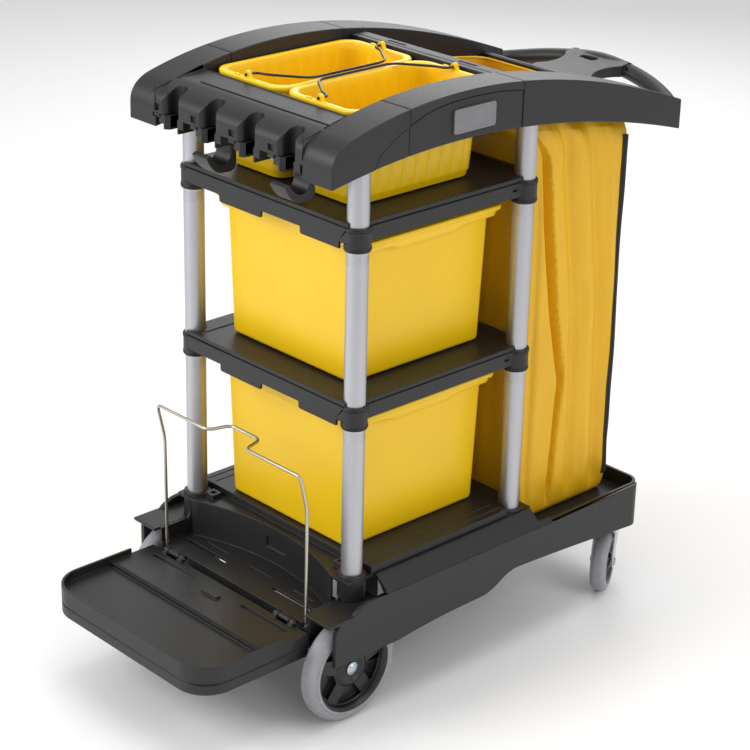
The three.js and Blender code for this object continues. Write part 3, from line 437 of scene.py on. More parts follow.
def make_yellow_plastic(finish, colour):
    cloud = finish.grain(90)
    scratch = finish.stepped(finish.grain(1.6, 2, (1, 1, 30)), 0.66, 0.8)
    body = finish.mixed(cloud, tone(colour, 0.95), tone(colour, 1.05))
    finish.set("Base Color", finish.mixed(scratch * 0.2, body, tone(colour, 0.8)))
    finish.set("Roughness", 0.3 + 0.1 * finish.grain(12) + 0.1 * scratch)
    finish.relief(finish.grain(3.2, 2), 0.12, 0.4)


def make_vinyl(finish, colour):
    weave = finish.bands(1.4, "Z") * finish.bands(1.4, "DIAGONAL")
    cloud = finish.grain(70, 4, (1, 1, 2.5))
    body = finish.mixed(cloud, tone(colour, 0.9), tone(colour, 1.06))
    finish.set("Base Color", finish.mixed(weave * 0.25, body, tone(colour, 0.86)))
    finish.set("Roughness", 0.4 + 0.14 * finish.grain(20) + 0.08 * weave)
    wrinkle = finish.grain(26, 4, (1, 1, 2.2)) + 0.3 * finish.grain(9, 3)
    finish.relief(wrinkle + 0.03 * weave, 3.0, 0.5)


def make_aluminium(finish, colour):
    streak = finish.grain(0.8, 3, (1, 1, 260))
    finish.set("Base Color", finish.mixed(streak, tone(colour, 0.9), tone(colour, 1.08)))
    finish.set("Roughness", 0.38 + 0.14 * streak)
    finish.relief(streak, 0.04, 0.35)


def make_rubber(finish, colour):
    dust = finish.stepped(finish.grain(14, 4), 0.45, 0.75)
    finish.set("Base Color", finish.mixed(dust, tone(colour, 0.92), tone(colour, 1.1)))
    finish.set("Roughness", 0.5 + 0.16 * dust)
    finish.relief(finish.grain(1.4, 3), 0.12, 0.5)


def make_zinc(finish, colour):
    spangle = finish.grain(5, 2)
    finish.set("Base Color", finish.mixed(spangle, tone(colour, 0.82), tone(colour, 1.1)))
    finish.set("Roughness", 0.24 + 0.2 * spangle)
    finish.relief(finish.grain(1.2, 2), 0.05, 0.3)


def make_plain(finish, colour):
    cloud = finish.grain(18, 4)
    finish.set("Base Color", finish.mixed(cloud, tone(colour, 0.9), tone(colour, 1.1)))
    finish.set("Roughness", 0.26 + 0.14 * finish.grain(6))
    finish.relief(finish.grain(1.6, 2), 0.05, 0.3)


def make_zip_cloth(finish, colour):
    weave = finish.bands(1.6, "Z", 0.4)
    finish.set("Base Color", finish.mixed(weave, tone(colour, 0.7), tone(colour, 1.5)))
    finish.set("Roughness", 0.62 + 0.2 * finish.grain(3))
    finish.relief(weave, 0.35, 0.7)


# The slot, the nodes that make its finish, the colour it takes, and how metallic it is
FINISHES = {
    "black_plastic": (make_black_plastic, "black", 0.0),
    "black_hub": (make_hub_plastic, "black", 0.0),
    "yellow_plastic": (make_yellow_plastic, "yellow", 0.0),
    "yellow_vinyl": (make_vinyl, "vinyl", 0.0),
    "aluminium_tube": (make_aluminium, "aluminium", 1.0),
    "grey_tyre": (make_rubber, "tyre", 0.0),
    "zinc_steel": (make_zinc, "zinc", 1.0),
    "bright_wire": (make_plain, "wire", 1.0),
    "black_wire": (make_plain, "black", 0.0),
    "plate_grey": (make_plain, "plate", 0.3),
    "black_zip": (make_zip_cloth, "black", 0.0),
}
made_finishes = {}


def finish_for(slot):
    if slot not in made_finishes:
        make, colour, metallic = FINISHES[slot]
        finish = Finish(slot, metallic)
        make(finish, getattr(bpy.context.scene.cart_colours, colour))
        made_finishes[slot] = finish.material
    return made_finishes[slot]


def piece(name, bm, body, slot, nodes, edge=1.5, segments=2, angle=32):
    """A finished piece: rounded edges, its finish, the body it rides on and what it replaces."""
    if edge:
        bmesh.ops.dissolve_limit(bm, angle_limit=math.radians(0.5), verts=bm.verts, edges=bm.edges,
                                 use_dissolve_boundaries=False, delimit={"NORMAL"})
    bmesh.ops.translate(bm, vec=(0, SHIFT_Y, 0), verts=bm.verts)
    bmesh.ops.scale(bm, vec=(MM, MM, MM), verts=bm.verts)
    for face in bm.faces:
        face.smooth = True
    obj = as_object(bm, name)
    obj.data.materials.append(finish_for(slot))
    if edge:
        rounding = obj.modifiers.new("rounded edges", "BEVEL")
        rounding.width = edge * MM * bpy.context.scene.cart_sizes.rounding
        rounding.segments = segments
        rounding.limit_method = "ANGLE"
        rounding.angle_limit = math.radians(angle)
        rounding.use_clamp_overlap = False
        evened = obj.modifiers.new("even shading", "WEIGHTED_NORMAL")
        evened.keep_sharp = True
    else:
        obj.data.set_sharp_from_angle(angle=math.radians(angle))
    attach(obj, body)
    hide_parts(*nodes)
    return obj


# ---------------------------------------------------------------- posts and shelves

def post_shape(x, y, box):
    """A tube with fine rings below each shelf's collar."""
    profile = [(POST_RADIUS - 2, box.z0), (POST_RADIUS - 0.4, box.z0), (POST_RADIUS, box.z0 + 0.4)]
    for level in (MIDDLE_SHELF.z0, UPPER_SHELF.z0):
        for i in range(4):
            z = level - 22 + 5 * i
            profile += [(POST_RADIUS, z - 0.7), (POST_RADIUS - 0.35, z - 0.4),
                        (POST_RADIUS - 0.35, z + 0.4), (POST_RADIUS, z + 0.7)]
    profile += [(POST_RADIUS, box.z1 - 0.4), (POST_RADIUS - 0.4, box.z1), (POST_RADIUS - 2, box.z1)]
    return turned(profile, "z", (x, y, 0), 72)


SHELF_BAND = 5
BAND_HEIGHT = 36
APRON_DROP = 48.6
HAND_NOTCH = 24


def apron_outline(top):
    """The front apron, with a hand notch at its left end and one right of its middle."""
    low = top - APRON_DROP
    high = low + HAND_NOTCH
    end = POST_X - COLLAR_RADIUS + 1
    corner = 5
    drops = []
    for x0, x1 in ((-0.61 * end, -4), (0.49 * end, end)):
        drops += [(x0, high), *bend((x0 + 1, low + corner), (x0 + 1, low), (x0 + corner, low), 4)]
        if x1 < end:
            drops += [*bend((x1 - corner, low), (x1 - 1, low), (x1 - 1, low + corner), 4), (x1, high)]
    return [(-end, top), (-end, high), *drops, (end, low), (end, top)]


def shelf_shape(box):
    top = box.z1
    level = box.z0
    out_x = POST_X + COLLAR_RADIUS / 2
    out_y = box.y1
    in_x = out_x - SHELF_BAND
    in_y = out_y - SHELF_BAND
    band_low = top - BAND_HEIGHT
    steps = cut_by(block(-in_x, in_x, -in_y, in_y, band_low - 1, top - 5))
    steps += joined_by(drawn(apron_outline(top), "y", -out_y, -out_y + SHELF_BAND))
    groove = shaped(
        block(-out_x - 2, out_x + 2, -out_y - 2, out_y + 2, top - 9, top - 7.4),
        *cut_by(block(-out_x + 1, out_x - 1, -out_y + 1, out_y - 1, top - 12, top)))
    steps += cut_by(groove)
    steps += cut_by(drawn(rounded(-186, 186, -out_y + 13, out_y - 13, 12), "z", top - 1.6, top + 2))
    for x, y in POST_PLACES:
        edge_x = math.copysign(out_x + 3, x)
        edge_y = math.copysign(out_y + 3, y)
        steps += cut_by(block(min(x, edge_x), max(x, edge_x), min(y, edge_y), max(y, edge_y),
                              band_low - 20, top + 1))
        steps += joined_by(
            upright(COLLAR_RADIUS, x, y, level, level + 43, 72),
            upright(COLLAR_RADIUS + 0.9, x, y, level + 3, level + 7, 72),
            upright(COLLAR_RADIUS + 0.9, x, y, level + 36, level + 40, 72))
    for side in (-1, 1):
        for x in (-128, -64, 0, 64, 128):
            steps += joined_by(block(x - 1.5, x + 1.5, -in_y - 1, in_y + 1, top - 24, top - 4))
        steps += joined_by(crossways(5, min(side * (out_x - 1), side * (out_x + 1.4)),
                                     max(side * (out_x - 1), side * (out_x + 1.4)),
                                     POST_Y - 36, top - 21))
        steps += cut_by(side_block(side, out_x + 0.6, out_x + 3, POST_Y - 40, POST_Y - 32,
                                   top - 21.8, top - 20.2))
    for x, y in POST_PLACES:
        steps += cut_by(upright(POST_BORE, x, y, level - 1, top + 2, 72))
    plate = block(-out_x, out_x, -out_y, out_y, band_low, top)
    return shaped(plate, *steps)


# ---------------------------------------------------------------- base

WALL = 6
DECK_TOP = BASE.z1 - 14
SOCKET_TOP = DECK_TOP + 5.4
LOW_DECK = DECK_TOP - 72
FENDER_TOP = DECK_TOP - 43
TRAY_RIM = DECK_TOP - 26
TRAY_FLOOR = TRAY_RIM - 31
SOCKET_RADIUS = POST_BORE + 6
LEDGE = POST_X + 23
DECK_REAR = POST_Y + 36.5
LOW_FRONT = WHEEL_Y - 62
LOW_HALF = TYRE.x0 - 12
ARC_END = -POST_Y - 29.5
ARC_DEPTH = 40
ARC_CHORD = POST_X - SOCKET_RADIUS
ARC_RADIUS = (ARC_CHORD ** 2 + ARC_DEPTH ** 2) / (2 * ARC_DEPTH)
ARC_Y = ARC_END + ARC_DEPTH - ARC_RADIUS
SLOT = (65, 188)  # near and far ends of the long slots in the low deck and the platform
HINGE_Y = (PIN.y0 + PIN.y1) / 2
HINGE_Z = (PIN.z0 + PIN.z1) / 2
KNUCKLE_X = (PIN.x0 + PIN.x1) / 2
KNUCKLE = 14


def inside_arc(radius, z0, z1):
    return upright(radius, 0, ARC_Y, z0, z1, 240)


def base_shape():
    top = DECK_TOP + 1
    deck = block(-LEDGE, LEDGE, ARC_END, DECK_REAR, DECK_TOP - WALL, DECK_TOP)
    wall = shaped(
        block(-ARC_CHORD - 6, ARC_CHORD + 6, ARC_END, ARC_END + 60, LOW_DECK - WALL, DECK_TOP),
        ("&", inside_arc(ARC_RADIUS + WALL, 0, top)))
    steps = joined_by(wall) + cut_by(inside_arc(ARC_RADIUS, 0, top))
    plinth = block(-LEDGE, LEDGE, -POST_Y + 26.5, POST_Y - 26.5, DECK_TOP - WALL, BASE.z1)
    steps += joined_by(plinth)
    for side in (-1, 1):
        for x in (203, 222):
            steps += cut_by(side_block(side, x, x + 2.4, -POST_Y + 34, POST_Y - 34,
                                       BASE.z1 - 1.5, BASE.z1 + 2))
    steps += joined_by(
        block(-LOW_HALF, LOW_HALF, LOW_FRONT, ARC_END + ARC_DEPTH, LOW_DECK - WALL, LOW_DECK),
        block(-LOW_HALF, LOW_HALF, LOW_FRONT, LOW_FRONT + WALL, PLATFORM.z0 + 6, LOW_DECK))
    slot_y = (WHEEL_Y + ARC_END) / 2 - 21
    for side in (-1, 1):
        x = side * KNUCKLE_X
        steps += joined_by(
            crossways(6, x - KNUCKLE, x + KNUCKLE, HINGE_Y, HINGE_Z),
            block(x - KNUCKLE, x + KNUCKLE, HINGE_Y, LOW_FRONT + 1, HINGE_Z - 6, LOW_DECK))
        steps += cut_by(
            drawn(rounded(min(side * SLOT[0], side * SLOT[1]), max(side * SLOT[0], side * SLOT[1]),
                          slot_y - 4, slot_y + 4, 3.5), "z", 0, LOW_DECK + 1),
            side_block(side, WIRE_FRAME.x1 - 9, WIRE_FRAME.x1 + 3, LOW_FRONT - 1.5, LOW_FRONT + 10.5,
                       HINGE_Z - 7, LOW_DECK + 1),
            crossways(3.3, x - 30, x + 30, HINGE_Y, HINGE_Z))
    for x in (-120, 0, 120):
        steps += cut_by(block(x - 30, x + 30, slot_y + 22, slot_y + 24, LOW_DECK - 1.2, LOW_DECK + 1))
    # A small recess in the middle of the bowed wall
    steps += cut_by(drawn(rounded(-26, 26, DECK_TOP - 44, DECK_TOP - 22, 3), "y",
                          ARC_END + ARC_DEPTH - 3, ARC_END + ARC_DEPTH + 2.4))
    inner = BASE.x1
    rear = BASE.y1
    plan = rounded(-inner, inner, DECK_REAR - WALL, rear, 30, 10)
    hollow = rounded(-inner + WALL, inner - WALL, DECK_REAR, rear - WALL, 24, 10)
    tub = shaped(drawn(plan, "z", TRAY_FLOOR - WALL, TRAY_RIM),
                 *cut_by(drawn(hollow, "z", TRAY_FLOOR, TRAY_RIM + 1)))
    steps += joined_by(tub, block(-LEDGE, LEDGE, DECK_REAR - WALL, DECK_REAR, TRAY_FLOOR, DECK_TOP))
    boss_low = box_of("right_caster_plate").z1 + 0.3
    stem_y = rear - 33
    for side in (-1, 1):
        steps += joined_by(side_block(side, POST_X - 37, POST_X + 37, stem_y - 42, stem_y + 28,
                                      boss_low, TRAY_FLOOR - 1))
        cheek = [(LOW_FRONT, LOW_DECK), (LOW_FRONT, LOW_DECK - 40), (WHEEL_Y - 24, WHEEL_RADIUS - 16),
                 (WHEEL_Y + 24, WHEEL_RADIUS - 16), (WHEEL_Y + 100, 170),
                 (WHEEL_Y + 100, DECK_TOP - WALL), (ARC_END + 20, DECK_TOP - WALL),
                 (ARC_END, FENDER_TOP), (LOW_FRONT, FENDER_TOP)]
        near = LOW_HALF - WALL if side > 0 else -LOW_HALF
        steps += joined_by(drawn(cheek, "x", near, near + WALL))
    for x, y in POST_PLACES:
        socket = upright(SOCKET_RADIUS, x, y, LOW_DECK - WALL, SOCKET_TOP, 72)
        side = 1 if x > 0 else -1
        room = side_block(side, LOW_HALF, SKIRT.x1 + 50, LOW_FRONT - 60,
                          WHEEL_Y + WHEEL_RADIUS + 15.8, 0, FENDER_TOP - WALL)
        steps += joined_by(shaped(socket, *cut_by(room)))
    # A square clip beside each front socket
    for side in (-1, 1):
        steps += joined_by(side_block(side, POST_X - 48, POST_X - 24, -POST_Y - 2, -POST_Y + 20,
                                      DECK_TOP - 2, DECK_TOP + 9))
        steps += cut_by(side_block(side, POST_X - 42, POST_X - 32, -POST_Y + 4, -POST_Y + 14,
                                   DECK_TOP + 4, DECK_TOP + 12))
    for x, y in POST_PLACES:
        steps += cut_by(upright(POST_BORE, x, y, FRONT_POST.z0 - 0.3, SOCKET_TOP + 30, 72))
    steps += cut_by(crossways(8.3, -SKIRT.x1, SKIRT.x1, WHEEL_Y, WHEEL_RADIUS))
    return shaped(deck, *steps)


def skirt_shape(side):
    """A shaped outer wall, a flank that sweeps up to the deck, and a fender over the wheel."""
    far = SKIRT.x1
    near = far - 10
    front = SKIRT.y0
    rear = SKIRT.y1
    front_low = TRAY_RIM - 104
    middle = TRAY_RIM - 93
    step = TRAY_RIM - 64
    shape = outline(
        (front, front_low),
        bend((WHEEL_Y + 96, front_low), (WHEEL_Y + 160, middle - 3), (WHEEL_Y + 230, middle - 1)),
        double_bend((POST_Y - 128, middle), (POST_Y - 83, middle + 1), (POST_Y - 73, step),
                    (POST_Y - 30, step)),
        bend((POST_Y - 30, step), ((POST_Y + rear) / 2 - 32, step - 8), (rear - 8, TRAY_RIM - 88), 14),
        (rear, TRAY_RIM - 84), (rear, TRAY_RIM), (WHEEL_Y + 30, TRAY_RIM),
        bend((WHEEL_Y + 30, TRAY_RIM), (WHEEL_Y + 5, TRAY_RIM), (WHEEL_Y - 15, FENDER_TOP), 8),
        bend((WHEEL_Y - 15, FENDER_TOP), (front, FENDER_TOP), (front, FENDER_TOP - 24), 8))
    wall = drawn(shape, "x", near, far)
    reach = LEDGE + 0.3
    flank = outline(
        (reach, DECK_TOP - WALL), (reach, DECK_TOP),
        double_bend((reach + 5, DECK_TOP), (reach + 12, DECK_TOP - 3), (far - 12, TRAY_RIM + 9),
                    (far - 2, TRAY_RIM + 1), 8),
        (far, TRAY_RIM - 3), (far, TRAY_RIM - 20), (near, TRAY_RIM - 20), (near, TRAY_RIM - 8),
        (reach + 6, DECK_TOP - WALL))
    rounding = shaped(
        block(near - 40, far + 1, rear - 30, rear + 1, 0, DECK_TOP),
        *cut_by(upright(30, far - 30, rear - 30, -1, DECK_TOP + 1, 96)))
    steps = joined_by(
        drawn(flank, "y", WHEEL_Y + 65, DECK_REAR + 24),
        block(LOW_HALF + 0.3, far, front - 16, WHEEL_Y + 65, FENDER_TOP - WALL, FENDER_TOP))
    steps += cut_by(
        rounding,
        upright(SOCKET_RADIUS + 0.3, POST_X, -POST_Y, 0, SOCKET_TOP + 30, 72),
        upright(SOCKET_RADIUS + 0.3, POST_X, POST_Y, 0, SOCKET_TOP + 30, 72),
        block(0, near, DECK_REAR - WALL - 0.3, rear + 1, 0, TRAY_RIM + 30),
        block(0, LOW_HALF + 0.3, LOW_FRONT - 60, 0, 0, SOCKET_TOP + 30))
    shape = shaped(wall, *steps)
    return shape if side > 0 else mirrored(shape)


# ---------------------------------------------------------------- wheels

RIM = 81  # radius where the hub meets the tyre
SPOKES = 5


def hub_shape():
    inner = TYRE.x0 + 2
    outer = TYRE.x1 - 2
    profile = [(8.3, inner), (28, inner), (34, inner + 9), (RIM - 8, inner + 9), (RIM, inner),
               (RIM, outer), (RIM - 3, outer), (RIM - 7, outer - 4), (RIM - 9, outer - 11),
               (36, outer - 9), (30, outer - 3), (24, outer - 1.5), (20, outer - 4), (16, outer - 6),
               (8.3, outer - 6)]
    wheel = turned(profile, "x", (0, WHEEL_Y, WHEEL_RADIUS), 120)
    steps = []
    for i in range(SPOKES):
        turn = 90 + 36 + 72 * i
        wide = arc(WHEEL_Y, WHEEL_RADIUS, RIM - 11, turn - 25, turn + 25, 12)
        narrow = arc(WHEEL_Y, WHEEL_RADIUS, 38, turn + 14, turn - 14, 4)
        steps += cut_by(drawn(wide + narrow, "x", inner + 13, outer + 1))
    return shaped(wheel, *steps)


def tyre_shape():
    inner = TYRE.x0
    outer = TYRE.x1
    seat = RIM + 0.3
    half = [(seat, outer), (seat + 2, outer), (seat + 5, outer - 0.6), (seat + 6, outer - 1.6),
            (seat + 7, outer - 0.7), (seat + 11, outer - 2), (seat + 15, outer - 4.5),
            (WHEEL_RADIUS - 2.4, outer - 7.6), (WHEEL_RADIUS - 0.8, outer - 11.4),
            (WHEEL_RADIUS - 0.8, outer - 12.2), (WHEEL_RADIUS, outer - 12.8),
            (WHEEL_RADIUS, outer - 18)]
    other = [(radius, inner + outer - x) for radius, x in reversed(half)]
    return turned(half + other, "x", (0, WHEEL_Y, WHEEL_RADIUS), 120)


def axle_cap_shape():
    box = box_of("right_axle_cap")
    radius = (box.z1 - box.z0) / 2
    profile = [(0.01, box.x0), (radius - 1, box.x0), (radius, box.x0 + 0.8), (radius, box.x0 + 1.8),
               (radius - 2.4, box.x0 + 2.4), (radius - 4, box.x1 - 1), (radius - 6, box.x1),
               (0.01, box.x1)]
    return turned(profile, "x", (0, WHEEL_Y, WHEEL_RADIUS), 36)


CASTER_RADIUS = 62.5
CASTER_HALF = 16
CASTER_TRAIL = 25
CASTER_TURN = 30
FORK_TOP = 142.7
FORK_HALF = 22


def caster_turned(bm, side):
    bmesh.ops.rotate(bm, verts=bm.verts, cent=(0, 0, 0),
                     matrix=Matrix.Rotation(math.radians(CASTER_TURN), 3, "Z"))
    bmesh.ops.translate(bm, verts=bm.verts, vec=(side * POST_X, BASE.y1 - 33, 0))
    return bm


def caster_plate_shape():
    box = box_of("right_caster_plate")
    steps = joined_by(upright(20, 0, 0, FORK_TOP + 0.3, box.z1 - 3, 48))
    for x in (-24, 24):
        for y in (-19, 19):
            steps += joined_by(upright(4.5, x, y, box.z1 - 6.5, box.z1 - 3, 6))
    return shaped(drawn(rounded(-30, 30, -26, 26, 6), "z", box.z1 - 4, box.z1), *steps)


def fork_shape():
    steps = []
    for side in (-1, 1):
        leg = outline(
            (-21, FORK_TOP - 1), (-22, FORK_TOP - 18),
            bend((-22, FORK_TOP - 18), (-27, 110), (-CASTER_TRAIL - 13, 84), 8),
            arc(-CASTER_TRAIL, CASTER_RADIUS, 13, 172, 368, 14),
            bend((-CASTER_TRAIL + 14, 84), (2, 104), (16, 118), 8),
            (20, FORK_TOP - 10), (20, FORK_TOP - 1))
        x = FORK_HALF - 3 if side > 0 else -FORK_HALF
        steps += joined_by(drawn(leg, "x", x, x + 3))
        steps += joined_by(crossways(9, min(side * 19, side * 23.2), max(side * 19, side * 23.2),
                                     -CASTER_TRAIL, CASTER_RADIUS))
    steps += cut_by(crossways(4.3, -30, 30, -CASTER_TRAIL, CASTER_RADIUS),
                    crossways(CASTER_RADIUS + 2, -19, 19, -CASTER_TRAIL, CASTER_RADIUS, 96))
    crown = drawn(rounded(-FORK_HALF, FORK_HALF, -22, 22, 8), "z", FORK_TOP - 3, FORK_TOP)
    return shaped(crown, *steps)


def caster_wheel_shape():
    seat = CASTER_RADIUS - 16.5
    half = [(4.3, 16), (12, 16), (15, 15), (18, 10), (30, 8.5), (seat - 6, 10), (seat - 2, 13.6),
            (seat, 14)]
    other = [(radius, -x) for radius, x in reversed(half)]
    return turned(half + other, "x", (0, -CASTER_TRAIL, CASTER_RADIUS), 80)


def caster_tyre_shape():
    seat = CASTER_RADIUS - 16.2
    half = [(seat, 14.4), (seat + 1, CASTER_HALF), (seat + 4, CASTER_HALF),
            (seat + 9, CASTER_HALF - 1.4), (CASTER_RADIUS - 4, 12.4), (CASTER_RADIUS - 1, 8.6),
            (CASTER_RADIUS, 5)]
    other = [(radius, -x) for radius, x in reversed(half)]
    return turned(half + other, "x", (0, -CASTER_TRAIL, CASTER_RADIUS), 80)


def caster_axle_shape():
    reach = FORK_HALF + 3
    steps = joined_by(crossways(7, reach - 1.6, reach, -CASTER_TRAIL, CASTER_RADIUS, 24),
                      crossways(6.5, -reach, -reach + 1.6, -CASTER_TRAIL, CASTER_RADIUS, 6))
    return shaped(crossways(4, -reach, reach, -CASTER_TRAIL, CASTER_RADIUS), *steps)


# ---------------------------------------------------------------- bins and buckets

def ring_at(plan, z, rise=None):
    return [(x, y, z + (rise(x, y) if rise else 0)) for x, y in plan]


def bin_shape(box):
    """One shell with leaning walls, an out-turned rim and a skirt below it."""
    foot_x = POST_X - 55
    foot_y = POST_Y - 38.5
    rim_x = box.x1
    rim_y = box.y1
    low = box.z0
    top = box.z1
    height = top - low

    def leaning(inset, z, radius=15.0):
        lean = 7 * (z - low) / height
        points = rounded(-foot_x - lean + inset, foot_x + lean - inset,
                         -foot_y - lean + inset, foot_y + lean - inset, radius, 7)
        return ring_at(evened_out(points), z)

    def flat(half_x, half_y, radius, z, rise=None):
        return ring_at(evened_out(rounded(-half_x, half_x, -half_y, half_y, radius, 7)), z, rise)

    def evened_out(points):
        """Each straight side in the same number of parts at every level."""
        result = []
        for i, here in enumerate(points):
            after = points[(i + 1) % len(points)]
            pieces = 26 if i % 8 == 7 else 1
            for k in range(pieces):
                result.append(tuple(p + (q - p) * k / pieces for p, q in zip(here, after)))
        return result

    def deeper(x, y):
        on_side = smoothstep(0, 3, abs(x) - (rim_x - 20))
        return -7 * on_side * (1 - smoothstep(78, 86, abs(y)))

    skirt_x = rim_x - 14
    skirt_y = rim_y - 2
    rings = [
        leaning(9, low), leaning(3.4, low + 0.8), leaning(0.8, low + 3.6), leaning(0, low + 8),
        leaning(0, low + height / 2), leaning(0, top - 13),
        flat(skirt_x - 3, skirt_y - 2.4, 14, top - 12.4),
        flat(skirt_x - 3, skirt_y - 2.4, 14, top - 23.4, deeper),
        flat(skirt_x - 2.2, skirt_y - 1.8, 14, top - 24.4, deeper),
        flat(skirt_x - 0.8, skirt_y - 0.6, 14, top - 24.4, deeper),
        flat(skirt_x, skirt_y, 14, top - 23.4, deeper),
        flat(skirt_x + 0.6, skirt_y, 14, top - 17),
        flat(skirt_x + 3.6, skirt_y + 0.4, 15, top - 15.8),
        flat(skirt_x + 4.2, skirt_y + 0.4, 15, top - 10),
        flat(rim_x - 1.2, rim_y - 0.6, 17, top - 9.2), flat(rim_x, rim_y, 18, top - 8),
        flat(rim_x, rim_y, 18, top - 2.4), flat(rim_x - 0.8, rim_y - 0.8, 17, top - 0.7),
        flat(rim_x - 2.6, rim_y - 2.4, 15, top),
        leaning(-1, top, 14.0), leaning(1.4, top - 0.4, 13.5), leaning(3, top - 2.4, 13.0),
        leaning(3, low + 12, 12.0), leaning(4.6, low + 6, 12.0), leaning(9, low + 3.2, 10.0)]
    return lofted(rings)


def bucket_shape(box):
    """A fluted bucket with a rolled rim and two lugs for its bail."""
    middle_x = (box.x0 + box.x1) / 2
    middle_y = (box.y0 + box.y1) / 2
    half_x = (box.x1 - box.x0) / 2
    half_y = (box.y1 - box.y0) / 2
    low = box.z0
    rim_top = box.z1 - 12
    depth = bpy.context.scene.cart_sizes.flute_depth / MM

    def level(inset, z, radius, flute=0.0):
        corners = rounded(middle_x - half_x + inset, middle_x + half_x - inset,
                          middle_y - half_y + inset, middle_y + half_y - inset, radius, 9)
        points = []
        for i, here in enumerate(corners):
            after = corners[(i + 1) % len(corners)]
            straight = i % 10 == 9
            along_y = straight and abs(after[1] - here[1]) > abs(after[0] - here[0])
            pieces = (64 if along_y else 32) if straight else 1
            waves = 8 if along_y else 4
            for k in range(pieces):
                x, y = (p + (q - p) * k / pieces for p, q in zip(here, after))
                if straight and flute:
                    wave = flute * depth * (1 - abs(math.sin(math.pi * waves * k / pieces)) ** 0.45)
                    run = Vector((after[0] - here[0], after[1] - here[1])).normalized()
                    x -= run.y * wave
                    y += run.x * wave
                points.append((x, y, z))
        return points

    span = rim_top - low
    rings = [level(28, low, 22), level(24.6, low + 0.8, 24), level(23, low + 3, 25),
             level(22.6, low + 9, 26), level(20, low + 12, 27), level(19.6, low + 17, 27, 0.2),
             level(19, low + 24, 27, 1)]
    rings += [level(19 - 8 * t, low + 24 + (span - 52) * t, 27 + 3 * t, 1) for t in (0.25, 0.5, 0.75, 1)]
    rings += [level(10.6, rim_top - 22, 30, 0.2), level(10.4, rim_top - 17, 30),
              level(9.8, rim_top - 9, 30), level(3, rim_top - 7.4, 32), level(3, rim_top - 9, 32),
              level(0.8, rim_top - 9, 34),
              level(0, rim_top - 8, 34), level(0, rim_top - 2.4, 34), level(0.8, rim_top - 0.7, 34),
              level(2.6, rim_top, 33), level(9.6, rim_top, 30), level(11.6, rim_top - 0.8, 29),
              level(12.8, rim_top - 3, 28), level(13.4, rim_top - 18, 28),
              level(13.6, rim_top - 26, 28, 0.8)]
    rings += [level(22.2 - 8 * t, low + 26 + (span - 56) * t, 25 + 3 * t, 0.9) for t in (0.8, 0.5, 0.2)]
    rings += [level(23, low + 20, 24, 0.2), level(24.6, low + 9, 23), level(26.6, low + 4, 21),
              level(31, low + 3.2, 19)]
    steps = []
    for y, inward in ((box.y0 + 7, 1), (box.y1 - 7, -1)):
        lug = outline((middle_x - 9, rim_top - 1), (middle_x + 9, rim_top - 1),
                      arc(middle_x, rim_top + 6, 6, 0, 180, 12))
        steps += joined_by(drawn(lug, "y", y - 4, y + 4))
        steps += joined_by(block(middle_x - 30, middle_x - 18, y - 3 * inward - 1.5,
                                 y - 3 * inward + 1.5, rim_top - 1, rim_top + 2.6))
    bore = drawn(outline(arc(middle_x, rim_top + 5, 2.8, 0, 360, 20)), "y", box.y0 - 1, box.y1 + 1)
    return shaped(lofted(rings), *steps, ("-", bore))


def bail_path(side):
    box = box_of(f"{'left' if side < 0 else 'right'}_bucket")
    middle = (box.x0 + box.x1) / 2
    height = box.z1 - 7
    front = box.y0 + 1
    rear = box.y1 - 1
    run = side * 7.5
    corners = [
        (middle, front), (middle, front + 24), (middle - side * 22, front + 30), (run, front + 76),
        (run, rear - 76), (middle - side * 22, rear - 30), (middle, rear - 24), (middle, rear)]
    return bent_path([(x, y, height) for x, y in corners], 20, 8)


# ---------------------------------------------------------------- rails and head

RAIL_WALL = 5
RAIL_FRONT = HEAD.y0
RAIL_REAR = REAR_RAIL.y1
RAIL_LENGTH = RAIL_REAR - RAIL_FRONT
NOSE_TOP = 1076
TAIL_TOP = 996
TAIL_LOW = REAR_RAIL.z0
HEAD_TOP = 1084
FASCIA_LOW = 1026
FASCIA_BACK = RAIL_FRONT + 38
WELL_FRONT = -POST_Y + 10.5
NOTCHES = (-150, -50, 50, 150)
RELIEF = [(-206, 1020), (-194.7, 1039.7), (-169, 1056.7), (-140.5, 1070.9), (-101.8, 1086.5),
          (-68.8, 1094.5), (-31.9, 1098), (19.5, 1099), (75, 1096.5), (121.8, 1090.5), (136, 1088.4)]


def rail_outline(inside):
    drop = RAIL_WALL if inside else 0
    low = 20 if inside else 0
    front = RAIL_FRONT + drop
    return outline(
        bend((RAIL_FRONT, 1001 - low), (RAIL_FRONT + 0.465 * RAIL_LENGTH, 1078.5 - low),
             (RAIL_REAR, TAIL_LOW - low), 60),
        bend((RAIL_REAR, TAIL_TOP - drop), (RAIL_FRONT + 0.442 * RAIL_LENGTH, 1177.5 - drop),
             (RAIL_FRONT + 38, NOSE_TOP - drop), 60),
        bend((RAIL_FRONT + 38, NOSE_TOP - drop), (front, NOSE_TOP - 14), (front, NOSE_TOP - 46), 12))


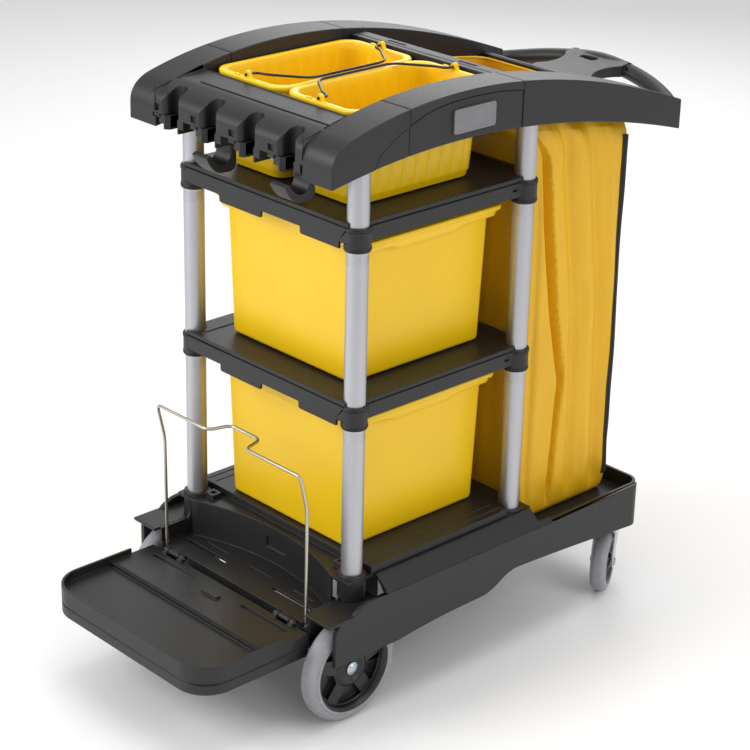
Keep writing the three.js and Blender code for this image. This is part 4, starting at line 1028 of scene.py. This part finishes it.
def rail_shape(side, y0, y1):
    """One stretch of a side rail: an arched channel that is open below."""
    if side > 0:
        return mirrored(rail_shape(-1, y0, y1))
    x0, x1 = -RAIL.x1, -RAIL.x0
    stretch = block(x0 - 1, x1 + 1, y0, y1, 0, 1200)
    room = block(x0, x1, y0 + RAIL_WALL, y1 - RAIL_WALL, 0, 1200)
    hollow = shaped(drawn(rail_outline(True), "x", x0 + RAIL_WALL, x1 - RAIL_WALL), ("&", room))
    steps = [("&", stretch), ("-", hollow)]
    for x, y in POST_PLACES:
        if x < 0 and y0 < y < y1:
            boss = shaped(upright(SOCKET_RADIUS, x, y, TAIL_LOW, 1057, 72),
                          ("&", drawn(rail_outline(False), "x", x0, x1)))
            steps += joined_by(boss) + cut_by(upright(POST_BORE, x, y, TAIL_LOW - 1, 1052.3, 72))
    # The outer face is stepped back below a long curved line
    edge = outline(*RELIEF, (136, 900), (-206, 900))
    if y0 < 100:
        steps += cut_by(drawn(edge, "x", x0 - 4, x0 + 1.5))
    return shaped(drawn(rail_outline(False), "x", x0, x1), *steps)


def head_shape():
    reach = RAIL.x0 + 1
    shell = outline(
        (WELL_FRONT, HEAD_TOP), (RAIL_FRONT + 55, HEAD_TOP - 4),
        bend((RAIL_FRONT + 55, HEAD_TOP - 4), (RAIL_FRONT, HEAD_TOP - 14),
             (RAIL_FRONT, HEAD_TOP - 38), 14),
        (RAIL_FRONT, FASCIA_LOW), (FASCIA_BACK, FASCIA_LOW), (FASCIA_BACK, HEAD_TOP - 22),
        (WELL_FRONT, HEAD_TOP - 14))
    steps = joined_by(block(-reach, reach, WELL_FRONT - RAIL_WALL, WELL_FRONT,
                            HEAD_TOP - 34, HEAD_TOP))
    for x in NOTCHES:
        middle = FASCIA_BACK - 19
        notch = outline(
            bend((x - 29, RAIL_FRONT - 2), (x - 15, RAIL_FRONT + 3), (x - 15, RAIL_FRONT + 13), 6),
            list(reversed(arc(x, middle, 16, 0, 180, 14))),
            bend((x + 15, RAIL_FRONT + 13), (x + 15, RAIL_FRONT + 3), (x + 29, RAIL_FRONT - 2), 6))
        steps += cut_by(drawn(notch, "z", 0, HEAD_TOP + 20))
        # The clip's window beside the notch, and a shallow landing round the notch
        steps += cut_by(block(x - 44, x - 31, RAIL_FRONT - 1, RAIL_FRONT + 5,
                              FASCIA_LOW + 6, FASCIA_LOW + 17))
        steps += joined_by(block(x - 46, x - 29, RAIL_FRONT - 0.1, RAIL_FRONT + 12,
                                 FASCIA_LOW - 6, FASCIA_LOW + 1))
    steps += cut_by(block(-140, reach - 2, -241, -239.4, HEAD_TOP - 4, HEAD_TOP + 3))
    bm = shaped(drawn(shell, "x", -reach, reach), *steps)
    seam = HEAD.y1
    return shaped(bm, *joined_by(*[rail_shape(side, RAIL_FRONT, seam) for _, side in SIDES]))


def grip_shape(box):
    """A stepped clip under a notch, with two soft jaws."""
    x = (box.x0 + box.x1) / 2
    plan = outline(
        (box.x0, box.y0), (x - 17, box.y0), (x - 10, box.y0 + 7), (x - 10, box.y1 - 9),
        (x + 10, box.y1 - 9), (x + 10, box.y0 + 7), (x + 17, box.y0), (box.x1, box.y0),
        (box.x1, box.y1), (box.x0, box.y1))
    step = [(box.x0 - 1, box.z0 - 1), (box.x0 + 12, box.z0 - 1), (box.x0 + 12, box.z0 + 9),
            (box.x0 - 1, box.z0 + 9)]
    other = [(2 * x - a, b) for a, b in step]
    steps = cut_by(drawn(step, "y", box.y0 - 1, box.y1 + 1), drawn(other, "y", box.y0 - 1, box.y1 + 1))
    for side in (-1, 1):
        for z in (box.z0 + 5, box.z0 + 10, box.z0 + 15):
            steps += cut_by(block(x + side * 10 - 1.2, x + side * 10 + 1.2, box.y0 + 8, box.y1 - 10,
                                  z, z + 1.8))
    return shaped(drawn(plan, "z", box.z0, box.z1), *steps)


def hook_shape(box):
    """A thick J hook."""
    back = box.y1 - 9
    low = box.z0
    lip = box.y0
    profile = outline(
        (back - 3, box.z1), (back - 3, low + 34),
        bend((back - 3, low + 34), (back - 5, low + 16), (back - 20, low + 15), 8),
        bend((back - 20, low + 15), (back - 34, low + 16), (lip + 9, low + 36), 8),
        (lip, low + 32),
        bend((lip, low + 32), (lip + 14, low + 2), (back - 22, low), 10),
        (back - 4, low),
        bend((back - 4, low), (back + 9, low + 1), (back + 9, low + 16), 10),
        (back + 9, box.z1))
    middle = (box.x0 + box.x1) / 2
    groove = block(middle - 8, middle + 8, back + 7.5, back + 12, low + 30, box.z1 - 8)
    return shaped(drawn(profile, "x", box.x0, box.x1), *cut_by(groove))


def crossbar_shape(box):
    steps = cut_by(
        block(box.x0 + 5, box.x1 - 5, box.y0 + 5, box.y1 - 5, 0, box.z1 - 5),
        block(box.x0 + 4, box.x1 - 4, box.y0 + 11, box.y0 + 12.6, box.z1 - 1.4, box.z1 + 2))
    for x in (-90, 90):
        steps += cut_by(block(x - 22, x + 22, box.y0 + 20, box.y0 + 26, box.z1 - 1.2, box.z1 + 2))
    return shaped(block(*box), *steps)


def smooth_path(points, steps):
    """A smooth line through all the points."""
    points = [Vector(point) for point in points]
    path = []
    for i in range(len(points) - 1):
        before = points[max(i - 1, 0)]
        here, after = points[i], points[i + 1]
        beyond = points[min(i + 2, len(points) - 1)]
        for k in range(steps):
            t = k / steps
            path.append(0.5 * (2 * here + (after - before) * t
                               + (2 * before - 5 * here + 4 * after - beyond) * t * t
                               + (3 * here - before - 3 * after + beyond) * t ** 3))
    return path + [points[-1]]


def handle_shape():
    grip_y = HANDLE.y1 - 15
    half = (RAIL.x0 + RAIL.x1) / 2
    bar_front = BAG.y1 + 1
    bar_rear = bar_front + 14
    bar_low = 984
    bar_top = 1000
    bow = smooth_path([
        (-half, RAIL_REAR - 2, 968), (-half + 26, RAIL_REAR + 34, 972), (-half / 2, grip_y - 8, 988),
        (0, grip_y, 1001), (half / 2, grip_y - 8, 988), (half - 26, RAIL_REAR + 34, 972),
        (half, RAIL_REAR - 2, 968)], 8)
    keep = block(-RAIL.x1, RAIL.x1, RAIL_REAR + 0.3, HANDLE.y1 + 20, 0, 1200)
    grip = shaped(tube(bow, 16.4, 28, 0.9), ("&", keep))
    saddle = outline(
        (bar_rear - 2, bar_low), (grip_y, bar_low + 4), (grip_y, bar_top + 12),
        bend((grip_y, bar_top + 12), ((bar_rear + grip_y) / 2, bar_top + 4),
             (bar_rear - 2, bar_top), 14))
    waist = []
    for side in (-1, 1):
        waist += cut_by(upright(58, side * 112, (bar_rear + grip_y) / 2 - 6, 0, 1200, 72))
    plate = shaped(drawn(saddle, "x", -72, 72), *waist)
    steps = joined_by(plate, grip)
    hole = outline((-30, grip_y - 32), (0, grip_y - 35), list(arc(0, grip_y - 26, 9, -90, 90, 12)),
                   (-24, grip_y - 19), (-30, grip_y - 22))
    steps += cut_by(drawn(hole, "z", 0, 1200))
    steps += cut_by(block(-175, 175, bar_front + 4, bar_front + 5.6, bar_top - 1.2, bar_top + 2))
    bar = block(-RAIL.x0 + 0.3, RAIL.x0 - 0.3, bar_front, bar_rear, bar_low, bar_top)
    return shaped(bar, *steps)


def plate_shape():
    """A plain plate with a raised border and two rivets."""
    steps = []
    inner = rounded(PLATE.y0 + 4, PLATE.y1 - 4, PLATE.z0 + 4, PLATE.z1 - 4, 3)
    steps += cut_by(drawn(inner, "x", PLATE.x1 - 0.6, PLATE.x1 + 1))
    middle = (PLATE.z0 + PLATE.z1) / 2
    for y in (PLATE.y0 + 9, PLATE.y1 - 9):
        steps += joined_by(crossways(2.4, PLATE.x1 - 1, PLATE.x1 + 0.2, y, middle, 24))
    outer = rounded(PLATE.y0, PLATE.y1, PLATE.z0, PLATE.z1, 5)
    return shaped(drawn(outer, "x", RAIL.x1 - 1.8, PLATE.x1), *steps)


# ---------------------------------------------------------------- platform and wires

def platform_shape():
    rear = HINGE_Y - 2
    front = PLATFORM.y0
    half = PLATFORM.x1
    low = PLATFORM.z0
    rim = PLATFORM.z1
    tray = rim - 18
    band = rim - 11
    step = front + 136

    def plan(inset, back):
        corner = 62 - inset
        return outline(
            (half - inset, back), (-half + inset, back),
            arc(-half + inset + corner, front + inset + corner, corner, 180, 270, 14),
            arc(half - inset - corner, front + inset + corner, corner, 270, 360, 14))

    groove = shaped(drawn(plan(-2, rear + 3), "z", low + 19, low + 21.5),
                    *cut_by(drawn(plan(1.6, rear + 6), "z", low, rim)))
    steps = cut_by(
        groove,
        drawn(plan(5, step), "z", tray, rim + 1),
        block(-half + 5, half - 5, step - 1, rear + 1, band, rim + 1),
        block(-half - 1, half + 1, HINGE_Y - 55, rear + 1, band, rim + 1),
        drawn(plan(5, rear - 5), "z", low - 1, tray - 5))
    slot_y = HINGE_Y - 25
    for side in (-1, 1):
        x = side * KNUCKLE_X
        steps += cut_by(
            drawn(rounded(min(side * SLOT[0], side * SLOT[1]), max(side * SLOT[0], side * SLOT[1]),
                          slot_y - 4, slot_y + 4, 3.5), "z", 0, rim + 1),
            block(x - KNUCKLE - 1, x + KNUCKLE + 1, HINGE_Y - 7.5, rear + 1, 0, rim + 10))
        for end in (-1, 1):
            middle = x + end * (KNUCKLE + 7.5)
            steps += joined_by(
                crossways(6, middle - 6, middle + 6, HINGE_Y, HINGE_Z),
                block(middle - 6, middle + 6, HINGE_Y - 10, HINGE_Y, HINGE_Z - 10, HINGE_Z))
        steps += cut_by(crossways(3.3, x - 31, x + 31, HINGE_Y, HINGE_Z))
    # A rib along the step, and the rest that clips over the low deck
    steps += joined_by(block(-half + 20, half - 20, step + 3, step + 5, band - 1, band + 1.2))
    steps += joined_by(drawn(rounded(-22, 22, HINGE_Y - 48, HINGE_Y - 36, 4), "z", band - 1, band + 5))
    return shaped(drawn(plan(0, rear), "z", low, rim), *steps)


def frame_path():
    half = LOW_HALF - 15
    y = LOW_FRONT + 4.5
    foot = HINGE_Z - 1
    top = foot + 292
    kick = y - 16
    right = [(40, kick + 44, top), (52, kick, top), (half, kick, top), (half, y, top - 70),
             (half - 2, y, foot)]
    left = [(-x, b, c) for x, b, c in reversed(right)]
    return bent_path(left + right, 14, 7)


# ---------------------------------------------------------------- waste bag

BAG_HALF = BAG.x1
BAG_FRONT = DECK_REAR + 3
BAG_LOW = BAG.z0
NECK_FRONT = CROSSBAR.y1 + 3
NECK_HALF = RAIL.x0 - 3.6
MOUTH = [(NECK_FRONT, BAG.z1 - 3), (BAG.y1, 992)]
RAIL_LOW = [(BAG_FRONT, 1010), (330, 1000), (420, 981), (BAG.y1, 960)]
DEEP_FOLD = [(202, 325), (482, 350), (605, 322), (799, 295), (915, 278), (968, 270)]
DEEP_WIDTH = [(202, 12), (482, 20), (605, 22), (799, 27), (915, 18), (968, 9)]
DEEP_DEPTH = [(202, 10), (300, 20), (482, 24), (799, 30), (915, 24), (968, 10)]
SOFT_FOLDS = [
    # line as (height, place) stops, width, height of the fold
    ([(202, 420), (600, 404), (940, 352)], 17, 7.0),
    ([(202, 452), (600, 438), (940, 392)], 12, -8.5),
    ([(202, 476), (600, 468), (940, 440)], 10, 4.5),
    ([(202, 384), (600, 366), (900, 326)], 10, -7.5),
    ([(202, 262), (700, 258), (940, 252)], 8, -9.0)]
REAR_FOLDS = [
    ([(202, -128), (600, -110), (960, -140)], 20, -9.0), ([(202, -84), (960, -96)], 18, 5.0),
    ([(202, -30), (500, -44), (960, -20)], 16, -8.0), ([(202, 26), (960, 30)], 22, 5.0),
    ([(202, 84), (700, 96), (960, 70)], 18, -9.0), ([(202, 142), (960, 128)], 18, 4.0)]


def ridge(folds, place, z):
    return sum(height * math.exp(-((place - along(line, z)) / width) ** 2)
               for line, width, height in folds)


def deep_fold(place, z):
    """A fold with a sharp rear edge that fades towards the front."""
    t = (along(DEEP_FOLD, z) - place) / along(DEEP_WIDTH, z)
    fall = smoothstep(0, 0.14, t) * (1 - smoothstep(0.35, 1.05, t))
    return -along(DEEP_DEPTH, z) * fall


def wander(a, b, c):
    return noise.noise(Vector((a, b, c)))


def fold_height(x, y, z, across_x, across_y):
    """How far the cloth stands out at a place, from the faces that meet there."""
    mirror = 1 if across_x > 0 else -1
    shifted = y + (0 if mirror > 0 else 14 + 16 * wander(z * 0.004, 3.1, 0))
    side = deep_fold(shifted, z) + ridge(SOFT_FOLDS, shifted, z)
    low = 1 - smoothstep(240, 420, z)
    side += 5 * low * wander((shifted + 0.55 * z) * 0.022, (shifted - 0.5 * z) * 0.006, mirror)
    below = along(RAIL_LOW, y) - z
    pucker = 1 - smoothstep(20, 110, below)
    side += 3.4 * pucker * wander(shifted * 0.085, z * 0.012, 7.0 * mirror)
    side += 3 * wander(shifted * 0.03, z * 0.008, 11.0 * mirror)
    back = ridge(REAR_FOLDS, x, z) + 4 * wander(x * 0.02, z * 0.006, 5.0)
    if across_y < 0:
        back = 0.4 * ridge(REAR_FOLDS, -x, z) - 2
    height = side * across_x ** 2 + back * across_y ** 2
    quiet = smoothstep(BAG_LOW + 2, BAG_LOW + 60, z) * smoothstep(-4, 30, below)
    return height * quiet * bpy.context.scene.cart_sizes.fold_depth


def bag_plan():
    """Places round the bag's plan, each with its outward direction."""
    corners = rounded(-BAG_HALF, BAG_HALF, BAG_FRONT, BAG.y1, 24, 5)
    points = []
    for i, here in enumerate(corners):
        after = corners[(i + 1) % len(corners)]
        straight = i % 6 == 5
        pieces = 1
        if straight:
            pieces = 60 if abs(after[1] - here[1]) > abs(after[0] - here[0]) * 0.2 else 30
        for k in range(pieces):
            points.append(tuple(p + (q - p) * k / pieces for p, q in zip(here, after)))
    return points


def outward(points, i):
    before, after = points[i - 1], points[(i + 1) % len(points)]
    run = Vector((after[0] - before[0], after[1] - before[1])).normalized()
    return run.y, -run.x


def bag_point(x, y, across, share, extra=0.0):
    """A place on the bag: share goes from 0 at its floor to 1 at its mouth."""
    z = BAG_LOW + share * (along(MOUTH, y) - BAG_LOW)
    below = along(RAIL_LOW, y) - z
    narrow = 1 - smoothstep(2, 26, below)
    half = BAG_HALF + (NECK_HALF - BAG_HALF) * narrow
    forward = smoothstep(925, 1000, z) * (BAG_FRONT - NECK_FRONT)
    tuck = 10 * (1 - smoothstep(BAG_LOW, BAG_LOW + 14, z)) + 2.5 * (1 - smoothstep(BAG_LOW, 700, z))
    height = fold_height(x, y, z, *across) - tuck + extra
    y -= forward * (1 - (y - BAG_FRONT) / (BAG.y1 - BAG_FRONT))
    return (x * half / BAG_HALF + across[0] * height, y + across[1] * height, z)


def bag_shape():
    plan = bag_plan()
    directions = [outward(plan, i) for i in range(len(plan))]
    middle_y = (BAG_FRONT + BAG.y1) / 2
    rings = [[(x * k, middle_y + (y - middle_y) * k, BAG_LOW) for x, y in plan]
             for k in (0.3, 0.7, 0.9)]
    shares = [0, 0.004, 0.012] + [0.03 + 0.97 * i / 48 for i in range(49)]
    for share in shares:
        rings.append([bag_point(x, y, across, share) for (x, y), across in zip(plan, directions)])
    return lofted(rings, last_cap=False)


HEM_RADIUS = 2.2
HEM_SIDES = 10


def hem_shape():
    plan = bag_plan()
    path = [Vector(bag_point(x, y, outward(plan, i), 1, -0.6)) for i, (x, y) in enumerate(plan)]
    path = [p for i, p in enumerate(path) if i % 2 == 0]
    rings = []
    for i, place in enumerate(path):
        ahead = (path[(i + 1) % len(path)] - path[i - 1]).normalized()
        aside = ahead.cross(Vector((0, 0, 1))).normalized()
        rise = aside.cross(ahead)
        turns = [math.tau * k / HEM_SIDES for k in range(HEM_SIDES)]
        rings.append([place + HEM_RADIUS * (aside * math.cos(turn) + rise * math.sin(turn))
                      for turn in turns])
    rings.append(rings[0])
    bm = lofted(rings, False, False)
    bmesh.ops.remove_doubles(bm, verts=bm.verts, dist=0.01)
    bmesh.ops.recalc_face_normals(bm, faces=bm.faces)
    return bm


def zip_shape():
    rings = []
    section = ((-7, 0.2), (-7, 1.4), (-1.6, 1.5), (-1.2, 2.6), (1.2, 2.6), (1.6, 1.5), (7, 1.4), (7, 0.2))
    centre = BAG.y1 - 20
    for i in range(61):
        share = 0.05 + 0.87 * i / 60
        rings.append([bag_point(BAG_HALF, centre + y, (1, 0), share, off) for y, off in section])
    return lofted(rings)


# ---------------------------------------------------------------- what a user may change

def colour_property(name, description, default):
    return bpy.props.FloatVectorProperty(
        name=name, description=description, default=default, subtype="COLOR", min=0, max=1)


class CartColours(bpy.types.PropertyGroup):
    black: colour_property("Black plastic", "Colour of the frame's mouldings", (0.009, 0.009, 0.0095))
    yellow: colour_property("Yellow plastic", "Colour of the bins and buckets", (0.87, 0.545, 0.001))
    vinyl: colour_property("Bag", "Colour of the bag's coated cloth", (0.76, 0.425, 0.002))
    aluminium: colour_property("Posts", "Colour of the anodised posts", (0.5, 0.5, 0.53))
    tyre: colour_property("Tyres", "Colour of the rubber tyres", (0.3, 0.3, 0.32))
    zinc: colour_property("Zinc", "Colour of the plated steel", (0.52, 0.58, 0.66))
    wire: colour_property("Wire", "Colour of the bright wire frame", (0.5, 0.47, 0.42))
    plate: colour_property("Label plate", "Colour of the blank plate", (0.2, 0.2, 0.21))
    floor: colour_property("Floor", "Colour of the studio floor", (0.9, 0.9, 0.9))


class CartSizes(bpy.types.PropertyGroup):
    rounding: bpy.props.FloatProperty(
        name="Rounding", description="How round the moulded edges are, 1 as made", default=1.0,
        min=0.2, max=1.5, subtype="FACTOR")
    flute_depth: bpy.props.FloatProperty(
        name="Flute depth", description="Depth of the flutes in the buckets' walls", default=0.0034,
        min=0, max=0.006, unit="LENGTH")
    fold_depth: bpy.props.FloatProperty(
        name="Folds", description="How deep the bag's folds are, 1 as made", default=1.0,
        min=0, max=1.3, subtype="FACTOR")
    floor_width: bpy.props.FloatProperty(
        name="Floor width", description="Width of the studio floor", default=60.0,
        min=5, max=100, unit="LENGTH")


# ---------------------------------------------------------------- operators

FRAME_BODY = "cart_frame"


class CART_OT_posts(bpy.types.Operator):
    """Make the four aluminium posts"""
    bl_idname = "cart.posts"
    bl_label = "Posts"

    def execute(self, context):
        for name in POSTS:
            box = box_of(name)
            x = (box.x0 + box.x1) / 2
            y = (box.y0 + box.y1) / 2
            piece(f"{name}_tube", post_shape(x, y, box), FRAME_BODY, "aluminium_tube", [name], 0)
        return {"FINISHED"}


class CART_OT_shelves(bpy.types.Operator):
    """Make the two shelves with their collars and aprons"""
    bl_idname = "cart.shelves"
    bl_label = "Shelves"

    def execute(self, context):
        for name in ("upper", "middle"):
            box = box_of(f"{name}_shelf")
            piece(f"{name}_shelf_moulding", shelf_shape(box), FRAME_BODY, "black_plastic",
                  [f"{name}_shelf"], 1.1)
        return {"FINISHED"}


class CART_OT_base(bpy.types.Operator):
    """Make the base and its two side skirts"""
    bl_idname = "cart.base"
    bl_label = "Base"

    def execute(self, context):
        piece("base_moulding", base_shape(), FRAME_BODY, "black_plastic", ["base_chassis"], 1.1)
        for name, side in SIDES:
            piece(f"{name}_skirt_moulding", skirt_shape(side), FRAME_BODY, "black_plastic",
                  [f"{name}_side_skirt"], 1.6, 3)
        return {"FINISHED"}


class CART_OT_wheels(bpy.types.Operator):
    """Make the two large wheels and their axle"""
    bl_idname = "cart.wheels"
    bl_label = "Large wheels"

    def execute(self, context):
        axle = box_of("front_axle")
        piece("axle_rod", crossways(8, axle.x0, axle.x1, WHEEL_Y, WHEEL_RADIUS, 40), FRAME_BODY,
              "zinc_steel", ["front_axle"], 0.6)
        for name, side in SIDES:
            fit = mirrored if side < 0 else lambda bm: bm
            piece(f"{name}_hub", fit(hub_shape()), f"{name}_wheel", "black_hub",
                  [f"{name}_wheel_hub"], 1.0)
            piece(f"{name}_tyre", fit(tyre_shape()), f"{name}_wheel", "grey_tyre",
                  [f"{name}_wheel_tyre"], 0)
            piece(f"{name}_push_cap", fit(axle_cap_shape()), FRAME_BODY, "zinc_steel",
                  [f"{name}_axle_cap"], 0)
        return {"FINISHED"}


class CART_OT_casters(bpy.types.Operator):
    """Make the two swivel casters"""
    bl_idname = "cart.casters"
    bl_label = "Casters"

    def execute(self, context):
        for name, side in SIDES:
            caster = f"{name}_caster"
            piece(f"{caster}_mounting", caster_turned(caster_plate_shape(), side), FRAME_BODY,
                  "zinc_steel", [f"{caster}_plate"], 0.6)
            piece(f"{caster}_yoke", caster_turned(fork_shape(), side), caster, "zinc_steel",
                  [f"{caster}_fork"], 0.7)
            piece(f"{caster}_pin", caster_turned(caster_axle_shape(), side), caster, "zinc_steel",
                  [f"{caster}_axle"], 0.4)
            piece(f"{caster}_disc", caster_turned(caster_wheel_shape(), side), f"{caster}_roller",
                  "black_hub", [f"{caster}_wheel"], 0)
            piece(f"{caster}_rubber", caster_turned(caster_tyre_shape(), side), f"{caster}_roller",
                  "grey_tyre", [f"{caster}_tyre"], 0)
        return {"FINISHED"}


class CART_OT_bins(bpy.types.Operator):
    """Make the two sliding bins"""
    bl_idname = "cart.bins"
    bl_label = "Bins"

    def execute(self, context):
        for name in ("upper_bin", "lower_bin"):
            piece(f"{name}_shell", bin_shape(box_of(name)), name, "yellow_plastic", [name], 0, angle=50)
        return {"FINISHED"}


class CART_OT_buckets(bpy.types.Operator):
    """Make the two fluted buckets and their wire bails"""
    bl_idname = "cart.buckets"
    bl_label = "Buckets"

    def execute(self, context):
        for name, side in SIDES:
            bucket = f"{name}_bucket"
            piece(f"{bucket}_shell", bucket_shape(box_of(bucket)), bucket, "yellow_plastic",
                  [bucket], 0, angle=50)
            bail = box_of(f"{bucket}_bail")
            piece(f"{name}_bail_wire", tube(bail_path(side), (bail.z1 - bail.z0) / 2 + 0.2, 20),
                  f"{name}_bail", "black_wire", [f"{bucket}_bail"], 0, angle=60)
        return {"FINISHED"}


class CART_OT_rails(bpy.types.Operator):
    """Make the arched side rails, the head in front of them and the crossbar between them"""
    bl_idname = "cart.rails"
    bl_label = "Rails and head"

    def execute(self, context):
        for name, side in SIDES:
            for part in ("middle_rail", "rear_rail"):
                node = f"{name}_{part}"
                box = box_of(node)
                piece(f"{node}_moulding", rail_shape(side, box.y0, box.y1), FRAME_BODY,
                      "black_plastic", [node], 2.2, 3)
        piece("head_moulding", head_shape(), FRAME_BODY, "black_plastic", ["front_head"], 1.6, 3)
        piece("crossbar_moulding", crossbar_shape(CROSSBAR), FRAME_BODY, "black_plastic",
              ["well_crossbar"], 1.2)
        return {"FINISHED"}


class CART_OT_tool_clips(bpy.types.Operator):
    """Make the four tool clips and the two hooks under the head"""
    bl_idname = "cart.tool_clips"
    bl_label = "Tool clips and hooks"

    def execute(self, context):
        for i in range(1, 5):
            piece(f"tool_clip_{i}", grip_shape(box_of(f"tool_grip_{i}")), FRAME_BODY,
                  "black_plastic", [f"tool_grip_{i}"], 0.8)
        for name in ("left", "right"):
            piece(f"{name}_hook", hook_shape(box_of(f"tool_hook_{name}")), FRAME_BODY,
                  "black_plastic", [f"tool_hook_{name}"], 1.6, 3)
        return {"FINISHED"}


class CART_OT_handle(bpy.types.Operator):
    """Make the push handle and the blank label plate"""
    bl_idname = "cart.handle"
    bl_label = "Handle and plate"

    def execute(self, context):
        piece("push_handle", handle_shape(), FRAME_BODY, "black_plastic", ["rear_handle"], 1.8, 3)
        piece("blank_plate", plate_shape(), FRAME_BODY, "plate_grey", ["label_plate"], 0.4)
        return {"FINISHED"}


class CART_OT_platform(bpy.types.Operator):
    """Make the folding platform, its hinge pins and the folding wire frame"""
    bl_idname = "cart.platform"
    bl_label = "Platform and wire frame"

    def execute(self, context):
        piece("platform_moulding", platform_shape(), "platform", "black_plastic",
              ["folding_platform"], 1.4, 3)
        for name, side in SIDES:
            node = f"{name}_platform_pin"
            box = box_of(node)
            rod = crossways((box.z1 - box.z0) / 2, box.x0, box.x1, HINGE_Y, HINGE_Z, 24)
            piece(f"{name}_hinge_rod", rod, "platform", "zinc_steel", [node], 0.4)
        piece("bent_wire", tube(frame_path(), 3.0, 24, hint=(1, 0, 0)), "wire_frame", "bright_wire",
              ["wire_frame"], 0, angle=60)
        return {"FINISHED"}


class CART_OT_bag(bpy.types.Operator):
    """Make the hanging waste bag, its hem and its zip"""
    bl_idname = "cart.bag"
    bl_label = "Waste bag"

    def execute(self, context):
        bag = piece("bag_cloth", bag_shape(), FRAME_BODY, "yellow_vinyl", ["waste_bag"], 0)
        cloth = bag.modifiers.new("cloth thickness", "SOLIDIFY")
        cloth.thickness = 1.2 * MM
        cloth.offset = -1
        soft = bag.modifiers.new("soft", "SUBSURF")
        soft.levels = 1
        soft.render_levels = 1
        hem = piece("bag_hem", hem_shape(), FRAME_BODY, "yellow_vinyl", [], 0)
        closure = piece("bag_closure", zip_shape(), FRAME_BODY, "black_zip", ["bag_zip"], 0)
        return {"FINISHED"}


LIGHTS = (
    # name, place, size, power, what it points at
    ("front light", (-1.6, -3.4, 2.6), 2.4, 100, (0, -0.2, 0.6)),
    ("side light", (3.6, 0.9, 2.4), 2.6, 42, (0, 0, 0.6)),
    ("top light", (0.2, 0.3, 4.2), 3.0, 62, (0, 0, 0)),
    ("rear light", (-2.6, 3.0, 2.4), 2.4, 36, (0, 0, 0.6)),
)
CAMERA_PLACE = (2.6637, -2.5349, 2.0866)
CAMERA_TURN = (46.456, 23.325, 1.341)  # azimuth, elevation and roll in degrees
CAMERA_LENS = 103.824


class CART_OT_stage(bpy.types.Operator):
    """Make the pale floor, the soft studio lights and the camera"""
    bl_idname = "cart.stage"
    bl_label = "Studio"

    def execute(self, context):
        width = context.scene.cart_sizes.floor_width
        bm = bmesh.new()
        bmesh.ops.create_grid(bm, x_segments=1, y_segments=1, size=width / 2)
        floor = as_object(bm, "studio_floor")
        finish = Finish("studio_floor", 0.0, Specular_IOR_Level=0.2)
        colour = context.scene.cart_colours.floor
        finish.set("Base Color", finish.mixed(finish.grain(400), tone(colour, 0.99), tone(colour, 1.0)))
        finish.set("Roughness", 0.7 + 0.1 * finish.grain(30))
        floor.data.materials.append(finish.material)
        for name, place, size, power, target in LIGHTS:
            data = bpy.data.lights.new(name, "AREA")
            data.shape = "DISK"
            data.size = size
            data.energy = power
            light = bpy.data.objects.new(name, data)
            context.scene.collection.objects.link(light)
            light.location = place
            aim = Vector(target) - Vector(place)
            light.rotation_euler = aim.to_track_quat("-Z", "Y").to_euler()
        world = bpy.data.worlds.new("studio")
        world.use_nodes = True
        sky = world.node_tree.nodes["Background"]
        sky.inputs["Color"].default_value = (1, 1, 1, 1)
        sky.inputs["Strength"].default_value = 0.62
        context.scene.world = world
        context.scene.view_settings.view_transform = "Standard"
        azimuth, elevation, roll = (math.radians(angle) for angle in CAMERA_TURN)
        level = Vector((math.cos(azimuth), math.sin(azimuth), 0))
        back = Vector((math.sin(azimuth) * math.cos(elevation),
                       -math.cos(azimuth) * math.cos(elevation), math.sin(elevation)))
        rise = back.cross(level)
        right = math.cos(roll) * level + math.sin(roll) * rise
        above = math.cos(roll) * rise - math.sin(roll) * level
        camera = bpy.data.objects.new("camera", bpy.data.cameras.new("camera"))
        camera.data.lens = CAMERA_LENS
        camera.data.clip_end = 200
        turn = Matrix((right, above, back)).transposed().to_4x4()
        camera.matrix_world = Matrix.Translation(CAMERA_PLACE) @ turn
        context.scene.collection.objects.link(camera)
        context.scene.camera = camera
        return {"FINISHED"}


PIECES = (
    CART_OT_stage, CART_OT_posts, CART_OT_shelves, CART_OT_base, CART_OT_wheels, CART_OT_casters,
    CART_OT_bins, CART_OT_buckets, CART_OT_rails, CART_OT_tool_clips, CART_OT_handle,
    CART_OT_platform, CART_OT_bag,
)


class CART_PT_panel(bpy.types.Panel):
    """Sizes, colours and the steps that build the cart"""
    bl_idname = "CART_PT_panel"
    bl_label = "Cleaning cart"
    bl_space_type = "VIEW_3D"
    bl_region_type = "UI"
    bl_category = "Cart"

    def draw(self, context):
        for group in (context.scene.cart_sizes, context.scene.cart_colours):
            for name in group.__annotations__:
                self.layout.prop(group, name)
        for operator in PIECES:
            self.layout.operator(operator.bl_idname)


CLASSES = (CartColours, CartSizes, *PIECES, CART_PT_panel)


def register():
    for cls in CLASSES:
        bpy.utils.register_class(cls)
    bpy.types.Scene.cart_colours = bpy.props.PointerProperty(type=CartColours)
    bpy.types.Scene.cart_sizes = bpy.props.PointerProperty(type=CartSizes)


def unregister():
    del bpy.types.Scene.cart_sizes
    del bpy.types.Scene.cart_colours
    for cls in reversed(CLASSES):
        bpy.utils.unregister_class(cls)


def main():
    register()
    for operator in PIECES:
        group, name = operator.bl_idname.split(".")
        getattr(getattr(bpy.ops, group), name)()


if __name__ == "__main__":
    main()
